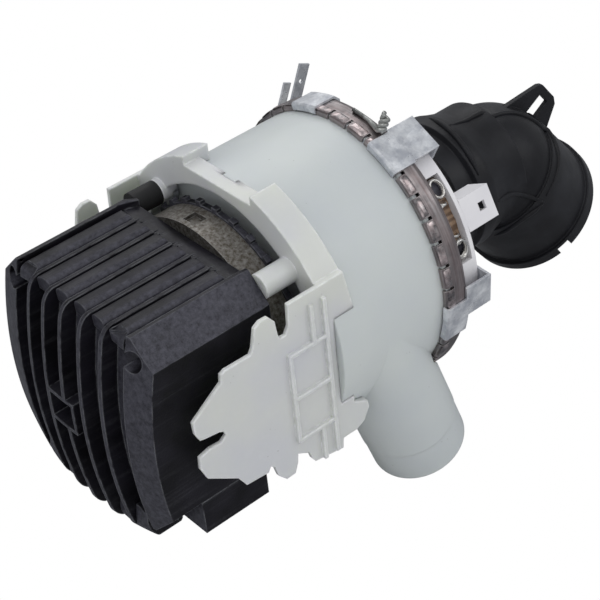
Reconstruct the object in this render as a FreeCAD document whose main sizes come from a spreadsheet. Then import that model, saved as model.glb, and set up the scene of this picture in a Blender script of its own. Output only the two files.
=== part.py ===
import FreeCAD, Part
import Sketcher
import math
import os

# Dishwasher circulation pump with through-flow heater, rubber inlet elbow and ribbed motor.
# Millimetres. X runs along the shaft from the motor to the inlet, Z is up, and the origin lies
# on the shaft axis in the plane where the white pump body meets the heater ring.

Vector = FreeCAD.Vector
Rotation = FreeCAD.Rotation
Placement = FreeCAD.Placement

doc = FreeCAD.newDocument("circulation_pump")

# Half height of the lens that shapes the rear of the motor, well past the ribs
CROWN_REACH = 62.0

# Driving sizes
SIZES = {
    "motor_half": 39.15,
    "motor_chamfer": 9.15,
    "motor_front": -62.5,
    "motor_back": -121.3,
    "crown_across": 92.0,
    "crown_upright": 120.0,
    "sole_drop": 7.35,
    "rib_depth": 6.0,
    "rib_pitch": 9.54,
    "rib_wide": 6.7,
    "rib_round": 2.4,
    "rib_front": -67.1,
    "rib_back": -111.0,
    "blade_thick": 1.5,
    "blade_inset": 0.85,
    "shelf_inset": 2.75,
    "roof_inset": 4.55,
    "cavity_radius": 32.2,
    "cavity_back": -104.0,
    "well_inset": 7.65,
    "well_radius": 3.6,
    "well_depth": 22.0,
    "window_left": -3.6,
    "window_right": 8.5,
    "window_low": -8.0,
    "window_high": 2.3,
    "window_wall": 1.1,
    "window_floor": -113.6,
    "shaft_radius": 4.0,
    "running_gap": 0.03,
    "bearing_outer": 8.0,
    "bearing_length": 7.0,
    "stator_length": 34.0,
    "stator_back": -101.0,
    "rotor_bore_gap": 0.6,
    "rotor_radius": 16.5,
    "magnet_thick": 3.0,
    "slot_radius": 5.0,
    "slot_circle": 23.5,
    "shield_radius": 39.8,
    "shield_front": -52.5,
    "former_radius": 40.6,
    "former_thick": 3.4,
    "former_tooth": 1.6,
    "post_inset": 6.15,
    "post_radius": 4.4,
    "screw_radius": 1.9,
    "screw_gap": 0.15,
    "screw_head": 3.3,
    "collar_back": -50.1,
    "collar_front": -39.6,
    "collar_over": 6.0,
    "collar_inset": 4.0,
    "collar_flat_half": 17.0,
    "plate_inset": 3.0,
    "plate_thick": 3.2,
    "rib_high": 1.3,
    "body_radius": 50.0,
    "body_wall": 2.6,
    "body_back": -45.0,
    "body_gap": 0.1,
    "outlet_radius": 17.5,
    "outlet_bore": 14.8,
    "outlet_inset": 0.3,
    "outlet_tilt": 18.5,
    "outlet_x": -10.6,
    "outlet_rise": 10.0,
    "outlet_length": 33.6,
    "spigot_length": 14.0,
    "spigot_step": 0.3,
    "seal_seat": 11.0,
    "impeller_inset": 20.0,
    "impeller_back": -39.0,
    "impeller_disc": 2.0,
    "vane_high": 7.0,
    "vane_count": 6.0,
    "eye_radius": 13.0,
    "body_front": 2.0,
    "gasket_thick": 0.8,
    "plate_gauge": 1.2,
    "neck_radius": 20.0,
    "neck_end": 47.0,
    "tube_inset": 6.5,
    "tube_radius": 2.6,
    "crimp_over": 2.4,
    "crimp_gauge": 0.8,
    "crimp_back": -0.6,
    "crimp_front": 9.2,
    "crimp_slits": 38.0,
    "slit_wide": 1.1,
    "slit_reach": 3.9,
    "clip_gauge": 0.9,
    "clip_top": 0.6,
    "holder_inset": 10.0,
    "holder_depth": 8.2,
    "holder_back": 9.4,
    "holder_front": 17.6,
    "holder_start": 21.5,
    "holder_sweep": 77.5,
    "elbow_wall": 2.6,
    "elbow_bend": 52.5,
    "elbow_vertex": 68.0,
    "elbow_neck": 23.2,
    "bulb_radius": 24.3,
    "cuff_radius": 25.4,
    "cuff_rim": 26.8,
    "cuff_length": 41.0,
}

sheet = doc.addObject("Spreadsheet::Sheet", "Sizes")
for row, (alias, value) in enumerate(SIZES.items(), start=1):
    sheet.set("A%d" % row, alias)
    sheet.set("B%d" % row, str(value))
    sheet.setAlias("B%d" % row, alias)
doc.recompute()


class Size:
    """A number together with the sheet expression that gives it."""

    def __init__(self, number, text):
        self.number = float(number)
        self.text = text

    def _join(self, other, sign, value):
        return Size(value, "(%s %s %s)" % (self.text, sign, other.text))

    def __add__(self, other):
        other = size(other)
        return self._join(other, "+", self.number + other.number)

    def __radd__(self, other):
        return size(other) + self

    def __sub__(self, other):
        other = size(other)
        return self._join(other, "-", self.number - other.number)

    def __rsub__(self, other):
        return size(other) - self

    def __mul__(self, other):
        other = size(other)
        return self._join(other, "*", self.number * other.number)

    def __rmul__(self, other):
        return size(other) * self

    def __truediv__(self, other):
        other = size(other)
        return self._join(other, "/", self.number / other.number)

    def __neg__(self):
        return Size(-self.number, "(0 - %s)" % self.text)


def size(value):
    """Return a Size for a plain number, or the Size itself."""
    if isinstance(value, Size):
        return value
    return Size(value, "%.6f" % value)


def named(alias):
    """Return the Size held in the sheet under this alias."""
    return Size(getattr(sheet, alias), "Sizes.%s" % alias)


def sine(angle):
    angle = size(angle)
    return Size(math.sin(math.radians(angle.number)), "sin(%s * 1deg)" % angle.text)


def cosine(angle):
    angle = size(angle)
    return Size(math.cos(math.radians(angle.number)), "cos(%s * 1deg)" % angle.text)


def bind(obj, prop, value):
    """Tie one property of an object to its expression."""
    value = size(value)
    obj.setExpression(prop, value.text)


TURN = {
    "x": Rotation(Vector(0, 1, 0), 90),
    "y": Rotation(Vector(1, 0, 0), -90),
    "z": Rotation(),
}


def place(obj, base, turn="z"):
    """Set where an object stands, with its base bound to the sheet."""
    rotation = TURN[turn] if isinstance(turn, str) else turn
    base = [size(value) for value in base]
    obj.Placement = Placement(Vector(*[value.number for value in base]), rotation)
    for letter, value in zip("xyz", base):
        obj.setExpression("Placement.Base.%s" % letter, value.text)
    return obj


def cylinder(name, radius, height, base=(0, 0, 0), turn="x", angle=360):
    obj = doc.addObject("Part::Cylinder", name)
    bind(obj, "Radius", radius)
    bind(obj, "Height", height)
    bind(obj, "Angle", angle)
    return place(obj, base, turn)


def cone(name, first, second, height, base=(0, 0, 0), turn="x"):
    obj = doc.addObject("Part::Cone", name)
    bind(obj, "Radius1", first)
    bind(obj, "Radius2", second)
    bind(obj, "Height", height)
    return place(obj, base, turn)


def torus(name, major, minor, base=(0, 0, 0), turn="x"):
    obj = doc.addObject("Part::Torus", name)
    bind(obj, "Radius1", major)
    bind(obj, "Radius2", minor)
    return place(obj, base, turn)


def sphere(name, radius, base=(0, 0, 0)):
    obj = doc.addObject("Part::Sphere", name)
    bind(obj, "Radius", radius)
    return place(obj, base)


def box(name, low, high):
    """Box between two corners given as sizes."""
    low = [size(value) for value in low]
    high = [size(value) for value in high]
    obj = doc.addObject("Part::Box", name)
    for prop, start, end in zip(("Length", "Width", "Height"), low, high):
        bind(obj, prop, end - start)
    return place(obj, low)


def turned_box(name, length, width, height, base, rotation):
    obj = doc.addObject("Part::Box", name)
    bind(obj, "Length", length)
    bind(obj, "Width", width)
    bind(obj, "Height", height)
    return place(obj, base, rotation)


def cut(name, base, *tools):
    for index, tool in enumerate(tools):
        obj = doc.addObject("Part::Cut", "%s_cut%d" % (name, index))
        obj.Base = base
        obj.Tool = tool
        base = obj
    return base


def fuse(name, *shapes):
    obj = doc.addObject("Part::MultiFuse", name)
    obj.Shapes = list(shapes)
    return obj


def common(name, *shapes):
    obj = doc.addObject("Part::MultiCommon", name)
    obj.Shapes = list(shapes)
    return obj


def plane_of(body, role):
    for feature in body.Origin.OriginFeatures:
        if feature.Role == role:
            return feature
    raise ValueError(role)


def outline(body, name, role, points):
    """Closed sketch through points, each vertex tied to the sheet."""
    sketch = body.newObject("Sketcher::SketchObject", name)
    sketch.AttachmentSupport = [(plane_of(body, role), "")]
    sketch.MapMode = "FlatFace"
    points = [(size(across), size(up)) for across, up in points]
    count = len(points)
    for index in range(count):
        first = points[index]
        second = points[(index + 1) % count]
        start = Vector(first[0].number, first[1].number, 0)
        end = Vector(second[0].number, second[1].number, 0)
        sketch.addGeometry(Part.LineSegment(start, end), False)
    for index in range(count):
        sketch.addConstraint(Sketcher.Constraint("Coincident", index, 2, (index + 1) % count, 1))
    for index, (across, up) in enumerate(points):
        for kind, value in (("DistanceX", across), ("DistanceY", up)):
            if abs(value.number) < 1e-9:
                axis = -2 if kind == "DistanceX" else -1
                sketch.addConstraint(Sketcher.Constraint("PointOnObject", index, 1, axis))
                continue
            number = sketch.addConstraint(
                Sketcher.Constraint(kind, -1, 1, index, 1, value.number)
            )
            if "Sizes." in value.text:
                sketch.setExpression("Constraints[%d]" % number, value.text)
    return sketch


def revolved(name, points, base=(0, 0, 0), angle=360):
    """Body turned about the X axis from points of (x, radius)."""
    body = doc.addObject("PartDesign::Body", name)
    sketch = outline(body, name + "_profile", "XY_Plane", points)
    turned = body.newObject("PartDesign::Revolution", name + "_turned")
    turned.Profile = sketch
    turned.ReferenceAxis = (sketch, ["H_Axis"])
    bind(turned, "Angle", angle)
    sketch.Visibility = False
    place(body, base)
    return body


def padded(name, role, points, depth, base=(0, 0, 0), turn="z", reverse=False):
    """Body padded from an outline on one of its origin planes."""
    body = doc.addObject("PartDesign::Body", name)
    sketch = outline(body, name + "_outline", role, points)
    pad = body.newObject("PartDesign::Pad", name + "_pad")
    pad.Profile = sketch
    bind(pad, "Length", depth)
    pad.Reversed = reverse
    sketch.Visibility = False
    place(body, base, turn)
    return body


def crown_solid(name, inset, base):
    """Lens turned about an upright axis, with a gentler arc up and down than across."""
    body = doc.addObject("PartDesign::Body", name)
    across = named("crown_across") - inset
    upright = named("crown_upright") - inset
    centre = upright - across
    reach = CROWN_REACH
    lift = math.asin(reach / upright.number)
    edge = centre.number - upright.number * math.cos(lift)
    sketch = body.newObject("Sketcher::SketchObject", name + "_profile")
    sketch.AttachmentSupport = [(plane_of(body, "XZ_Plane"), "")]
    sketch.MapMode = "FlatFace"
    circle = Part.Circle(Vector(centre.number, 0, 0), Vector(0, 0, 1), upright.number)
    sketch.addGeometry(Part.ArcOfCircle(circle, math.pi - lift, math.pi + lift), False)
    sketch.addGeometry(Part.LineSegment(Vector(edge, -reach, 0), Vector(0, -reach, 0)), False)
    sketch.addGeometry(Part.LineSegment(Vector(0, -reach, 0), Vector(0, reach, 0)), False)
    sketch.addGeometry(Part.LineSegment(Vector(0, reach, 0), Vector(edge, reach, 0)), False)
    sketch.addConstraint(Sketcher.Constraint("Coincident", 0, 2, 1, 1))
    sketch.addConstraint(Sketcher.Constraint("Coincident", 1, 2, 2, 1))
    sketch.addConstraint(Sketcher.Constraint("Coincident", 2, 2, 3, 1))
    sketch.addConstraint(Sketcher.Constraint("Coincident", 3, 2, 0, 1))
    sketch.addConstraint(Sketcher.Constraint("Horizontal", 1))
    sketch.addConstraint(Sketcher.Constraint("Horizontal", 3))
    sketch.addConstraint(Sketcher.Constraint("PointOnObject", 2, 1, -2))
    sketch.addConstraint(Sketcher.Constraint("PointOnObject", 2, 2, -2))
    sketch.addConstraint(Sketcher.Constraint("PointOnObject", 0, 3, -1))
    sketch.addConstraint(Sketcher.Constraint("DistanceY", -1, 1, 2, 2, reach))
    sketch.addConstraint(Sketcher.Constraint("DistanceY", 2, 1, -1, 1, reach))
    radius = sketch.addConstraint(Sketcher.Constraint("Radius", 0, upright.number))
    sketch.setExpression("Constraints[%d]" % radius, upright.text)
    across_at = sketch.addConstraint(
        Sketcher.Constraint("DistanceX", -1, 1, 0, 3, centre.number)
    )
    sketch.setExpression("Constraints[%d]" % across_at, centre.text)
    turned = body.newObject("PartDesign::Revolution", name + "_turned")
    turned.Profile = sketch
    turned.ReferenceAxis = (sketch, ["V_Axis"])
    turned.Angle = 360
    sketch.Visibility = False
    place(body, base)
    return body


nodes = {}


def publish(node, obj):
    """Name an object as one finished piece of the pump."""
    obj.Label = node
    nodes[node] = obj
    return obj


def about_x(angle):
    """Rotation about the shaft, 0 at the top, growing toward the -Y side."""
    return Rotation(Vector(1, 0, 0), angle)


# Ribbed motor housing
half = named("motor_half")
flat = half - named("motor_chamfer")
front = named("motor_front")
back = named("motor_back")
pitch = named("rib_pitch")
zone = pitch * 3
sole = half + named("sole_drop")
octagon = [
    (flat, half),
    (-flat, half),
    (-half, flat),
    (-half, -flat),
    (-flat, -half),
    (flat, -half),
    (half, -flat),
    (half, flat),
]
prism = padded("housing_prism", "YZ_Plane", octagon, front - back, (back, 0, 0))
crown_at = (back + named("crown_across"), 0, 0)
outer_ball = crown_solid("housing_crown", size(0), crown_at)
inner_ball = crown_solid("housing_valley", named("rib_depth"), crown_at)
zone_box = box("housing_zone", (back - 5, -zone, -half - 5), (front + 5, zone, half + 5))
sides = cut("housing_sides", prism, zone_box)
roof = half - named("roof_inset")
core_box = box("housing_core_box", (back, -zone, -roof - 4), (front, zone, roof))
core = common("housing_core", core_box, inner_ball)
shelf = half - named("shelf_inset")
shelf_box = box(
    "housing_shelf", (named("rib_front") - 1.2, -zone, -shelf - 4), (front, zone, shelf)
)
pieces = [sides, shelf_box]
thick = named("blade_thick")
blade_top = half - named("blade_inset")
blade_low = named("blade_inset") - sole
for number in range(-2, 3):
    side = pitch * number
    blade = box(
        "housing_blade%d" % (number + 2),
        (back, side - thick / 2, blade_low),
        (named("rib_front"), side + thick / 2, blade_top),
    )
    pieces.append(blade)
bar_blanks = []
for level in (1, -1):
    for number in range(6):
        side = pitch * (number - 2.5)
        wide = named("rib_wide") / 2
        name = "housing_bar%d_%d" % (number, level + 1)
        low = (roof - 1) if level == 1 else -sole
        high = half if level == 1 else -(roof - 1)
        blank = box(
            name,
            (named("rib_back"), side - wide, low),
            (named("rib_front"), side + wide, high),
        )
        bar_blanks.append((blank, level))
doc.recompute()
for blank, level in bar_blanks:
    rounded = doc.addObject("Part::Fillet", blank.Name + "_round")
    rounded.Base = blank
    radius = named("rib_round").number
    crest = half.number if level == 1 else sole.number
    chosen = []
    for index, edge in enumerate(blank.Shape.Edges, start=1):
        height = edge.BoundBox.Center.z * level
        if height > crest - 0.01 and edge.BoundBox.XLength > 1:
            chosen.append((index, radius, radius))
        if height > crest - 0.01 and edge.BoundBox.XLength < 1:
            if edge.BoundBox.Center.x > -80:
                chosen.append((index, 1.2, 1.2))
    rounded.Edges = chosen
    pieces.append(rounded)
win_low = (named("window_left"), named("window_low"))
win_high = (named("window_right"), named("window_high"))
win_wall = named("window_wall")
frame_box = box(
    "housing_window_frame",
    (back, win_low[0] - win_wall, win_low[1] - win_wall),
    (named("window_floor") - 0.4, win_high[0] + win_wall, win_high[1] + win_wall),
)
pieces.append(frame_box)
crowned = common("housing_crowned", fuse("housing_pieces", *pieces), outer_ball)
housing_solid = fuse("housing_solid", crowned, core)
window_hole = box(
    "housing_window_hole",
    (back - 2, win_low[0], win_low[1]),
    (named("window_floor"), win_high[0], win_high[1]),
)
cavity = cylinder(
    "housing_cavity", named("cavity_radius"), front - named("cavity_back") + 2,
    (named("cavity_back"), 0, 0),
)
pocket_back = named("cavity_back") - named("bearing_length")
bearing_pocket = cylinder(
    "housing_bearing_pocket", named("bearing_outer"), named("bearing_length") + 1,
    (pocket_back, 0, 0),
)
hollows = [window_hole, cavity, bearing_pocket]
well = half - named("well_inset")
for index, side in enumerate((-1, 1)):
    hollows.append(cylinder(
        "housing_well%d" % index, named("well_radius"), named("well_depth") + 8,
        (back - 3, well * side, well),
    ))
post = half - named("post_inset")
for index, (side, up) in enumerate(((-1, 1), (1, 1), (1, -1), (-1, -1))):
    hollows.append(cylinder(
        "housing_pilot%d" % index, named("screw_radius"), 14,
        (front - 13, (post - 1.0) * side, (post - 1.0) * up),
    ))
block_low = -half - 4.4
block_back = size(-99.5)
block_front = size(-73.0)
block_inner = size(-13.0)
block_gap = 0.1
block_room = cut(
    "housing_block_room",
    box(
        "block_room_box",
        (block_back - block_gap, -half - 8, -sole - 1),
        (block_front + block_gap, block_inner + block_gap, -flat + 2),
    ),
    padded("block_room_clear", "YZ_Plane", octagon, front - back, (back, 0, 0)),
)
publish("motor_housing", cut(
    "motor_housing", housing_solid, fuse("housing_hollows", *hollows), block_room
))

# Connector block under the motor with its blade contacts
block = box("block_blank", (block_back, -half, block_low), (block_front, block_inner, -28.0))
block_socket = box("block_socket", (-95.5, -34.0, block_low - 1), (-77.0, -18.0, block_low + 3.2))
block_clear = padded("block_clearance", "YZ_Plane", octagon, front - back, (back, 0, 0))
publish("motor_connector", cut("motor_connector", block, block_clear, block_socket))
pins = []
for number in range(3):
    pins.append(box(
        "connector_pin%d" % number,
        (-92.0 + 5.0 * number, -29.0, block_low + 0.4),
        (-91.2 + 5.0 * number, -23.0, block_low + 3.2),
    ))
publish("motor_connector_pins", fuse("motor_connector_pins", *pins))

# Stator, windings and the drive end shield
bore = named("rotor_radius") + named("rotor_bore_gap")
stator_back = named("stator_back")
stator = cut(
    "stator",
    cylinder("stator_stack", named("cavity_radius"), named("stator_length"), (stator_back, 0, 0)),
    cylinder("stator_bore", bore, named("stator_length") + 2, (stator_back - 1, 0, 0)),
)
slots = []
coils = []
for number in range(6):
    angle = math.radians(60 * number)
    centre = (
        named("slot_circle") * math.cos(angle),
        named("slot_circle") * math.sin(angle),
    )
    slots.append(cylinder(
        "stator_slot%d" % number, named("slot_radius"), named("stator_length") + 2,
        (stator_back - 1, centre[0], centre[1]),
    ))
    coils.append(cylinder(
        "coil%d" % number, named("slot_radius"), named("stator_length") + 2,
        (stator_back - 1, centre[0], centre[1]),
    ))
publish("stator_core", cut("stator_core", stator, fuse("stator_slots", *slots)))
coil_profile = [(0, 18.8), (1.9, 18.8), (1.9, 28.4), (0, 28.4)]
coils.append(revolved("coil_end_back", coil_profile, (stator_back - 1.9, 0, 0)))
coils.append(revolved(
    "coil_end_front", coil_profile, (stator_back + named("stator_length"), 0, 0)
))
publish("stator_windings", fuse("stator_windings", *coils))

shield = named("shield_radius")
shield_front = named("shield_front")
shield_profile = [
    (front, named("bearing_outer")),
    (front, shield),
    (shield_front, shield),
    (shield_front, shield - 4),
    (front + 4.2, shield - 4),
    (front + 4.2, 16.0),
    (front + 7.6, 16.0),
    (front + 7.6, named("bearing_outer")),
]
shield_body = revolved("end_shield_turned", shield_profile)
notch = turned_box("end_shield_notch", 5, 6.5, 4.5, (front + 2.0, 0, 37.6), about_x(2))
publish("motor_end_shield", cut("motor_end_shield", shield_body, notch))

# Toothed coil former ring in front of the shield
former = named("former_radius")
former_profile = [
    (shield_front, shield - 8),
    (shield_front, former),
    (shield_front + named("former_thick") - 1.2, former),
    (shield_front + named("former_thick") - 1.2, shield - 8),
]
former_ring = revolved("former_turned", former_profile)
teeth = []
for number in range(30):
    angle = 12.0 * number
    rotation = about_x(angle)
    corner = rotation.multVec(Vector(0, -1.3, named("former_radius").number - 0.3))
    teeth.append(turned_box(
        "former_tooth%d" % number, named("former_thick") - 1.2, 2.6, named("former_tooth"),
        (shield_front, corner.y, corner.z), rotation,
    ))
publish("coil_former", fuse("coil_former", former_ring, *teeth))

# Bearings, shaft, rotor core and magnets
shaft = named("shaft_radius")
gap = named("running_gap")
bearing_profile = [
    (0, shaft + gap),
    (0, named("bearing_outer")),
    (named("bearing_length"), named("bearing_outer")),
    (named("bearing_length"), shaft + gap),
]
publish("rear_bearing", revolved("rear_bearing", bearing_profile, (pocket_back, 0, 0)))
publish("front_bearing", revolved("front_bearing", bearing_profile, (front + 0.4, 0, 0)))
shaft_back = pocket_back + 0.6
impeller_back = named("impeller_back")
nut_front = impeller_back + 15.0
shaft_profile = [
    (shaft_back, 0),
    (shaft_back, shaft - 0.4),
    (shaft_back + 0.6, shaft),
    (nut_front - 1.6, shaft),
    (nut_front - 1.0, shaft - 0.6),
    (nut_front - 1.0, 0),
]
publish("rotor_shaft", revolved("rotor_shaft", shaft_profile))
core_profile = [
    (stator_back, shaft),
    (stator_back, named("rotor_radius") - named("magnet_thick")),
    (stator_back + named("stator_length"), named("rotor_radius") - named("magnet_thick")),
    (stator_back + named("stator_length"), shaft),
]
publish("rotor_core", revolved("rotor_core", core_profile))
magnet_profile = [
    (stator_back, named("rotor_radius") - named("magnet_thick")),
    (stator_back, named("rotor_radius")),
    (stator_back + named("stator_length"), named("rotor_radius")),
    (stator_back + named("stator_length"), named("rotor_radius") - named("magnet_thick")),
]
publish("rotor_magnet", revolved("rotor_magnet", magnet_profile))

# White mounting bracket, one moulding: collar, two hooked plates, posts and panel ribs
collar_back = named("collar_back")
collar_front = named("collar_front")
body_back = named("body_back")
body_radius = named("body_radius")
fit = named("body_gap")
collar_radius = body_radius + named("collar_over")
collar_lip = body_radius - named("collar_inset")
collar_profile = [
    (collar_back, collar_lip),
    (collar_back, collar_radius),
    (collar_front, collar_radius),
    (collar_front, body_radius + fit),
    (body_back - fit, body_radius + fit),
    (body_back - fit, collar_lip),
]
collar = revolved("collar_turned", collar_profile)
flat_half = named("collar_flat_half")
trims = []
for index, level in enumerate((1, -1)):
    low = body_radius if level == 1 else -collar_radius - 5
    high = collar_radius + 5 if level == 1 else -body_radius
    trims.append(box(
        "collar_trim%d" % index,
        (collar_back - 1, -flat_half, low),
        (collar_front + 1, flat_half, high),
    ))
    trims.append(box(
        "collar_step%d" % index,
        (collar_back + 6.6, -flat_half, low if level == -1 else body_radius - 10),
        (collar_front + 1, flat_half, high if level == 1 else 10 - body_radius),
    ))
face = body_radius - named("plate_inset")
reach = collar_radius + 5
trims.append(box("collar_side0", (collar_back - 1, -reach, -reach), (0, -face, reach)))
trims.append(box("collar_side1", (collar_back - 1, face, -reach), (0, reach, reach)))
collar_cut = cut("collar_trimmed", collar, fuse("collar_trims", *trims))
hook_outline = [
    (-62.5, 33.5),
    (-62.9, 25.4),
    (-64.5, 22.6),
    (-66.8, 22.7),
    (-67.5, 25.0),
    (-68.1, 30.4),
    (-70.3, 33.2),
    (-73.5, 33.3),
    (-75.9, 31.9),
    (-77.4, 25.3),
    (-78.6, 23.2),
    (-88.7, 23.4),
    (-90.4, 22.5),
    (-90.8, 19.6),
    (-92.2, 18.6),
    (-103.0, 11.1),
    (-102.8, 6.4),
    (-101.4, 3.2),
    (-99.9, 2.8),
    (-94.1, 1.9),
    (-92.3, 1.1),
    (-91.6, -1.0),
    (-93.8, -2.6),
    (-98.2, -2.3),
    (-102.5, -3.4),
    (-102.8, -7.9),
    (-100.8, -13.1),
    (-89.5, -20.8),
    (-86.6, -25.7),
    (-77.6, -26.5),
    (-76.4, -24.6),
    (-74.9, -26.0),
    (-73.7, -30.6),
    (-70.7, -34.1),
    (-66.9, -33.9),
    (-65.4, -30.0),
    (-65.0, -26.7),
    (-60.4, -29.1),
    (-59.4, -32.6),
    (-58.2, -34.5),
    (-46.0, -36.6),
    (-45.6, -32.5),
    (-39.5, -32.6),
    (-36.1, -30.9),
    (-33.5, -26.2),
    (-34.0, -23.4),
    (-40.2, -20.2),
    (-41.0, 11.7),
    (-35.9, 14.3),
    (-37.0, 20.0),
    (-39.6, 33.5),
]
plates = []
for index, level in enumerate((-1, 1)):
    plates.append(padded(
        "hook_plate%d" % index, "XZ_Plane", hook_outline, named("plate_thick"),
        (0, face * level - named("plate_thick") * (level + 1) / 2 + named("plate_thick"), 0),
    ))
body_room = cylinder(
    "bracket_body_room", body_radius + fit, 60, (body_back - fit, 0, 0)
)
outlet_tilt = named("outlet_tilt")
outlet_turn = Rotation(Vector(0, 1, 0), 180 - outlet_tilt.number)
outlet_side = named("outlet_radius") + named("outlet_inset") - body_radius
outlet_z = named("outlet_rise") - body_radius
outlet_base = (named("outlet_x"), outlet_side, outlet_z)
outlet_room = cylinder(
    "bracket_outlet_room", named("outlet_radius") + 0.6, 60, outlet_base, outlet_turn
)
posts = []
post_bores = []
for index, (side, up) in enumerate(((-1, 1), (1, 1), (1, -1), (-1, -1))):
    long_post = side < 0
    start = front + 0.1 if long_post else collar_back - 2.0
    posts.append(cylinder(
        "bracket_post%d" % index, named("post_radius"), collar_back + 4.0 - start,
        (start, post * side, post * up),
    ))
    post_bores.append(cylinder(
        "bracket_bore%d" % index, named("screw_radius") + named("screw_gap"), 30,
        (front - 5, (post - 1.0) * side, (post - 1.0) * up),
    ))
    post_bores.append(cylinder(
        "bracket_counterbore%d" % index, named("screw_head") + named("screw_gap"), 6,
        (collar_back + 2.0, (post - 1.0) * side, (post - 1.0) * up),
    ))
raised = []
high = named("rib_high")
for index, level in enumerate((-1, 1)):
    low_y = -face - high if level < 0 else face
    high_y = -face if level < 0 else face + high
    spans = [
        ((-65.0, -20.2), (-63.6, 14.8)),
        ((-65.0, 13.4), (-48.2, 14.8)),
        ((-65.0, -4.3), (-48.2, -2.9)),
        ((-65.0, -21.6), (-48.2, -20.2)),
        ((-49.6, -35.0), (-48.2, 29.0)),
        ((-55.0, 14.8), (-53.6, 29.0)),
        ((-55.0, -35.0), (-53.6, -21.6)),
    ]
    for number, (first, second) in enumerate(spans):
        raised.append(box(
            "panel_rib%d_%d" % (index, number),
            (first[0], low_y, first[1]),
            (second[0], high_y, second[1]),
        ))
bracket_solid = fuse("bracket_solid", collar_cut, *plates, *posts, *raised)
publish("mounting_bracket", cut(
    "mounting_bracket", bracket_solid, body_room, outlet_room, fuse("bracket_bores", *post_bores)
))

# White pump body with its tangential outlet
wall = named("body_wall")
tilt_sin = sine(outlet_tilt)
tilt_cos = cosine(outlet_tilt)
outer = body_radius + named("crimp_over")
body_front = named("body_front")
crimp_back = named("crimp_back")
crimp_front = named("crimp_front")
sheet_gauge = named("crimp_gauge")
rise = -outlet_z / tilt_cos
pipe_top = (
    named("outlet_x") - tilt_sin * rise,
    outlet_side,
    outlet_z + tilt_cos * rise,
)
pipe_length = named("outlet_length") + rise
root_length = pipe_length - named("spigot_length") - named("spigot_step")
spigot_end = (
    named("outlet_x") + tilt_sin * named("outlet_length"),
    outlet_side,
    outlet_z - tilt_cos * named("outlet_length"),
)
barrel = cylinder("body_barrel", body_radius, body_front - body_back, (body_back, 0, 0))
rim_start = crimp_back + sheet_gauge + 0.1
rim = cylinder("body_rim", body_radius + 1.3, body_front - rim_start, (rim_start, 0, 0))
ring_clear = cylinder("ring_clear", outer + 0.5, 80, (crimp_back - 1.2, 0, 0))
ring_wall = cylinder("ring_wall", outer + 2.1, 80, (crimp_back - 2.8, 0, 0))
pipe_root = cylinder(
    "body_pipe_root", named("outlet_radius") + named("spigot_step"), root_length,
    pipe_top, outlet_turn,
)
spigot = cylinder("body_pipe", named("outlet_radius"), pipe_length, pipe_top, outlet_turn)
pipe = cut("body_pipe_trimmed", fuse("body_pipe_whole", pipe_root, spigot), ring_clear)
body_shape = fuse("body_shape", barrel, rim, pipe)
chamber = cylinder("body_chamber", body_radius - wall, 80, (body_back + wall, 0, 0))
pipe_bore = cut(
    "body_bore_trimmed",
    cylinder("body_pipe_bore", named("outlet_bore"), pipe_length + 1, pipe_top, outlet_turn),
    ring_wall,
)
seal_hole = cylinder("body_seal_hole", named("seal_seat"), 10, (body_back - 2, 0, 0))
publish("pump_body", cut("pump_body", body_shape, fuse("body_hollow", chamber, pipe_bore, seal_hole)))
plate_x = body_front + named("gasket_thick")
gasket_profile = [
    (body_front, body_radius - wall + 0.1),
    (body_front, body_radius - 0.2),
    (plate_x, body_radius - 0.2),
    (plate_x, body_radius - wall + 0.1),
]
publish("body_gasket", revolved("body_gasket", gasket_profile))

# Shaft seal: rubber cup, ceramic seat and the ring that turns against it
cup_profile = [
    (body_back - 1.2, 8.6),
    (body_back - 1.2, named("seal_seat")),
    (body_back + wall, named("seal_seat")),
    (body_back + wall, 8.6),
]
publish("seal_cup", revolved("seal_cup", cup_profile))
seat_profile = [
    (body_back - 0.6, shaft + 0.5),
    (body_back - 0.6, 8.6),
    (body_back + 3.6, 8.6),
    (body_back + 3.6, shaft + 0.5),
]
publish("seal_seat", revolved("seal_seat", seat_profile))
ring_profile = [
    (body_back + 3.7, shaft),
    (body_back + 3.7, 7.6),
    (impeller_back, 7.6),
    (impeller_back, shaft),
]
publish("seal_ring", revolved("seal_ring", ring_profile))

# Closed impeller with backward curved vanes and its nut
disc = named("impeller_disc")
tip = body_radius - named("impeller_inset")
vane_high = named("vane_high")
hub_front = impeller_back + 11.5
hub_profile = [
    (impeller_back, shaft),
    (impeller_back, tip),
    (impeller_back + disc, tip),
    (impeller_back + disc, 8.0),
    (hub_front, 6.6),
    (hub_front, shaft),
]
shroud_profile = [
    (impeller_back + disc + vane_high, named("eye_radius")),
    (impeller_back + disc + vane_high, tip),
    (impeller_back + disc + vane_high + 1.3, tip),
    (impeller_back + disc + vane_high + 1.3, named("eye_radius")),
]
impeller_parts = [revolved("impeller_hub", hub_profile), revolved("impeller_shroud", shroud_profile)]
for number in range(int(named("vane_count").number)):
    angle = 360.0 / named("vane_count").number * number
    centre = about_x(angle).multVec(Vector(0, 8.0, 14.5))
    turn = about_x(angle - 62).multiply(TURN["x"])
    spot = (impeller_back + disc - 0.2, centre.y, centre.z)
    outer_face = cylinder("vane_out%d" % number, 16.4, vane_high + 0.4, spot, turn, 118)
    inner_face = cylinder("vane_in%d" % number, 15.0, vane_high + 0.4, spot, turn, 118)
    blank = cut("vane%d" % number, outer_face, inner_face)
    keep = cylinder(
        "vane_keep%d" % number, tip - 0.3, vane_high + 0.4, (impeller_back + disc - 0.2, 0, 0)
    )
    impeller_parts.append(common("vane_trim%d" % number, blank, keep))
vane_room = cylinder("vane_room", shaft, 20, (impeller_back - 1, 0, 0))
publish("impeller", cut("impeller", fuse("impeller_blank", *impeller_parts), vane_room))
nut = doc.addObject("Part::Prism", "nut_blank")
nut.Polygon = 6
bind(nut, "Circumradius", 6.4)
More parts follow.
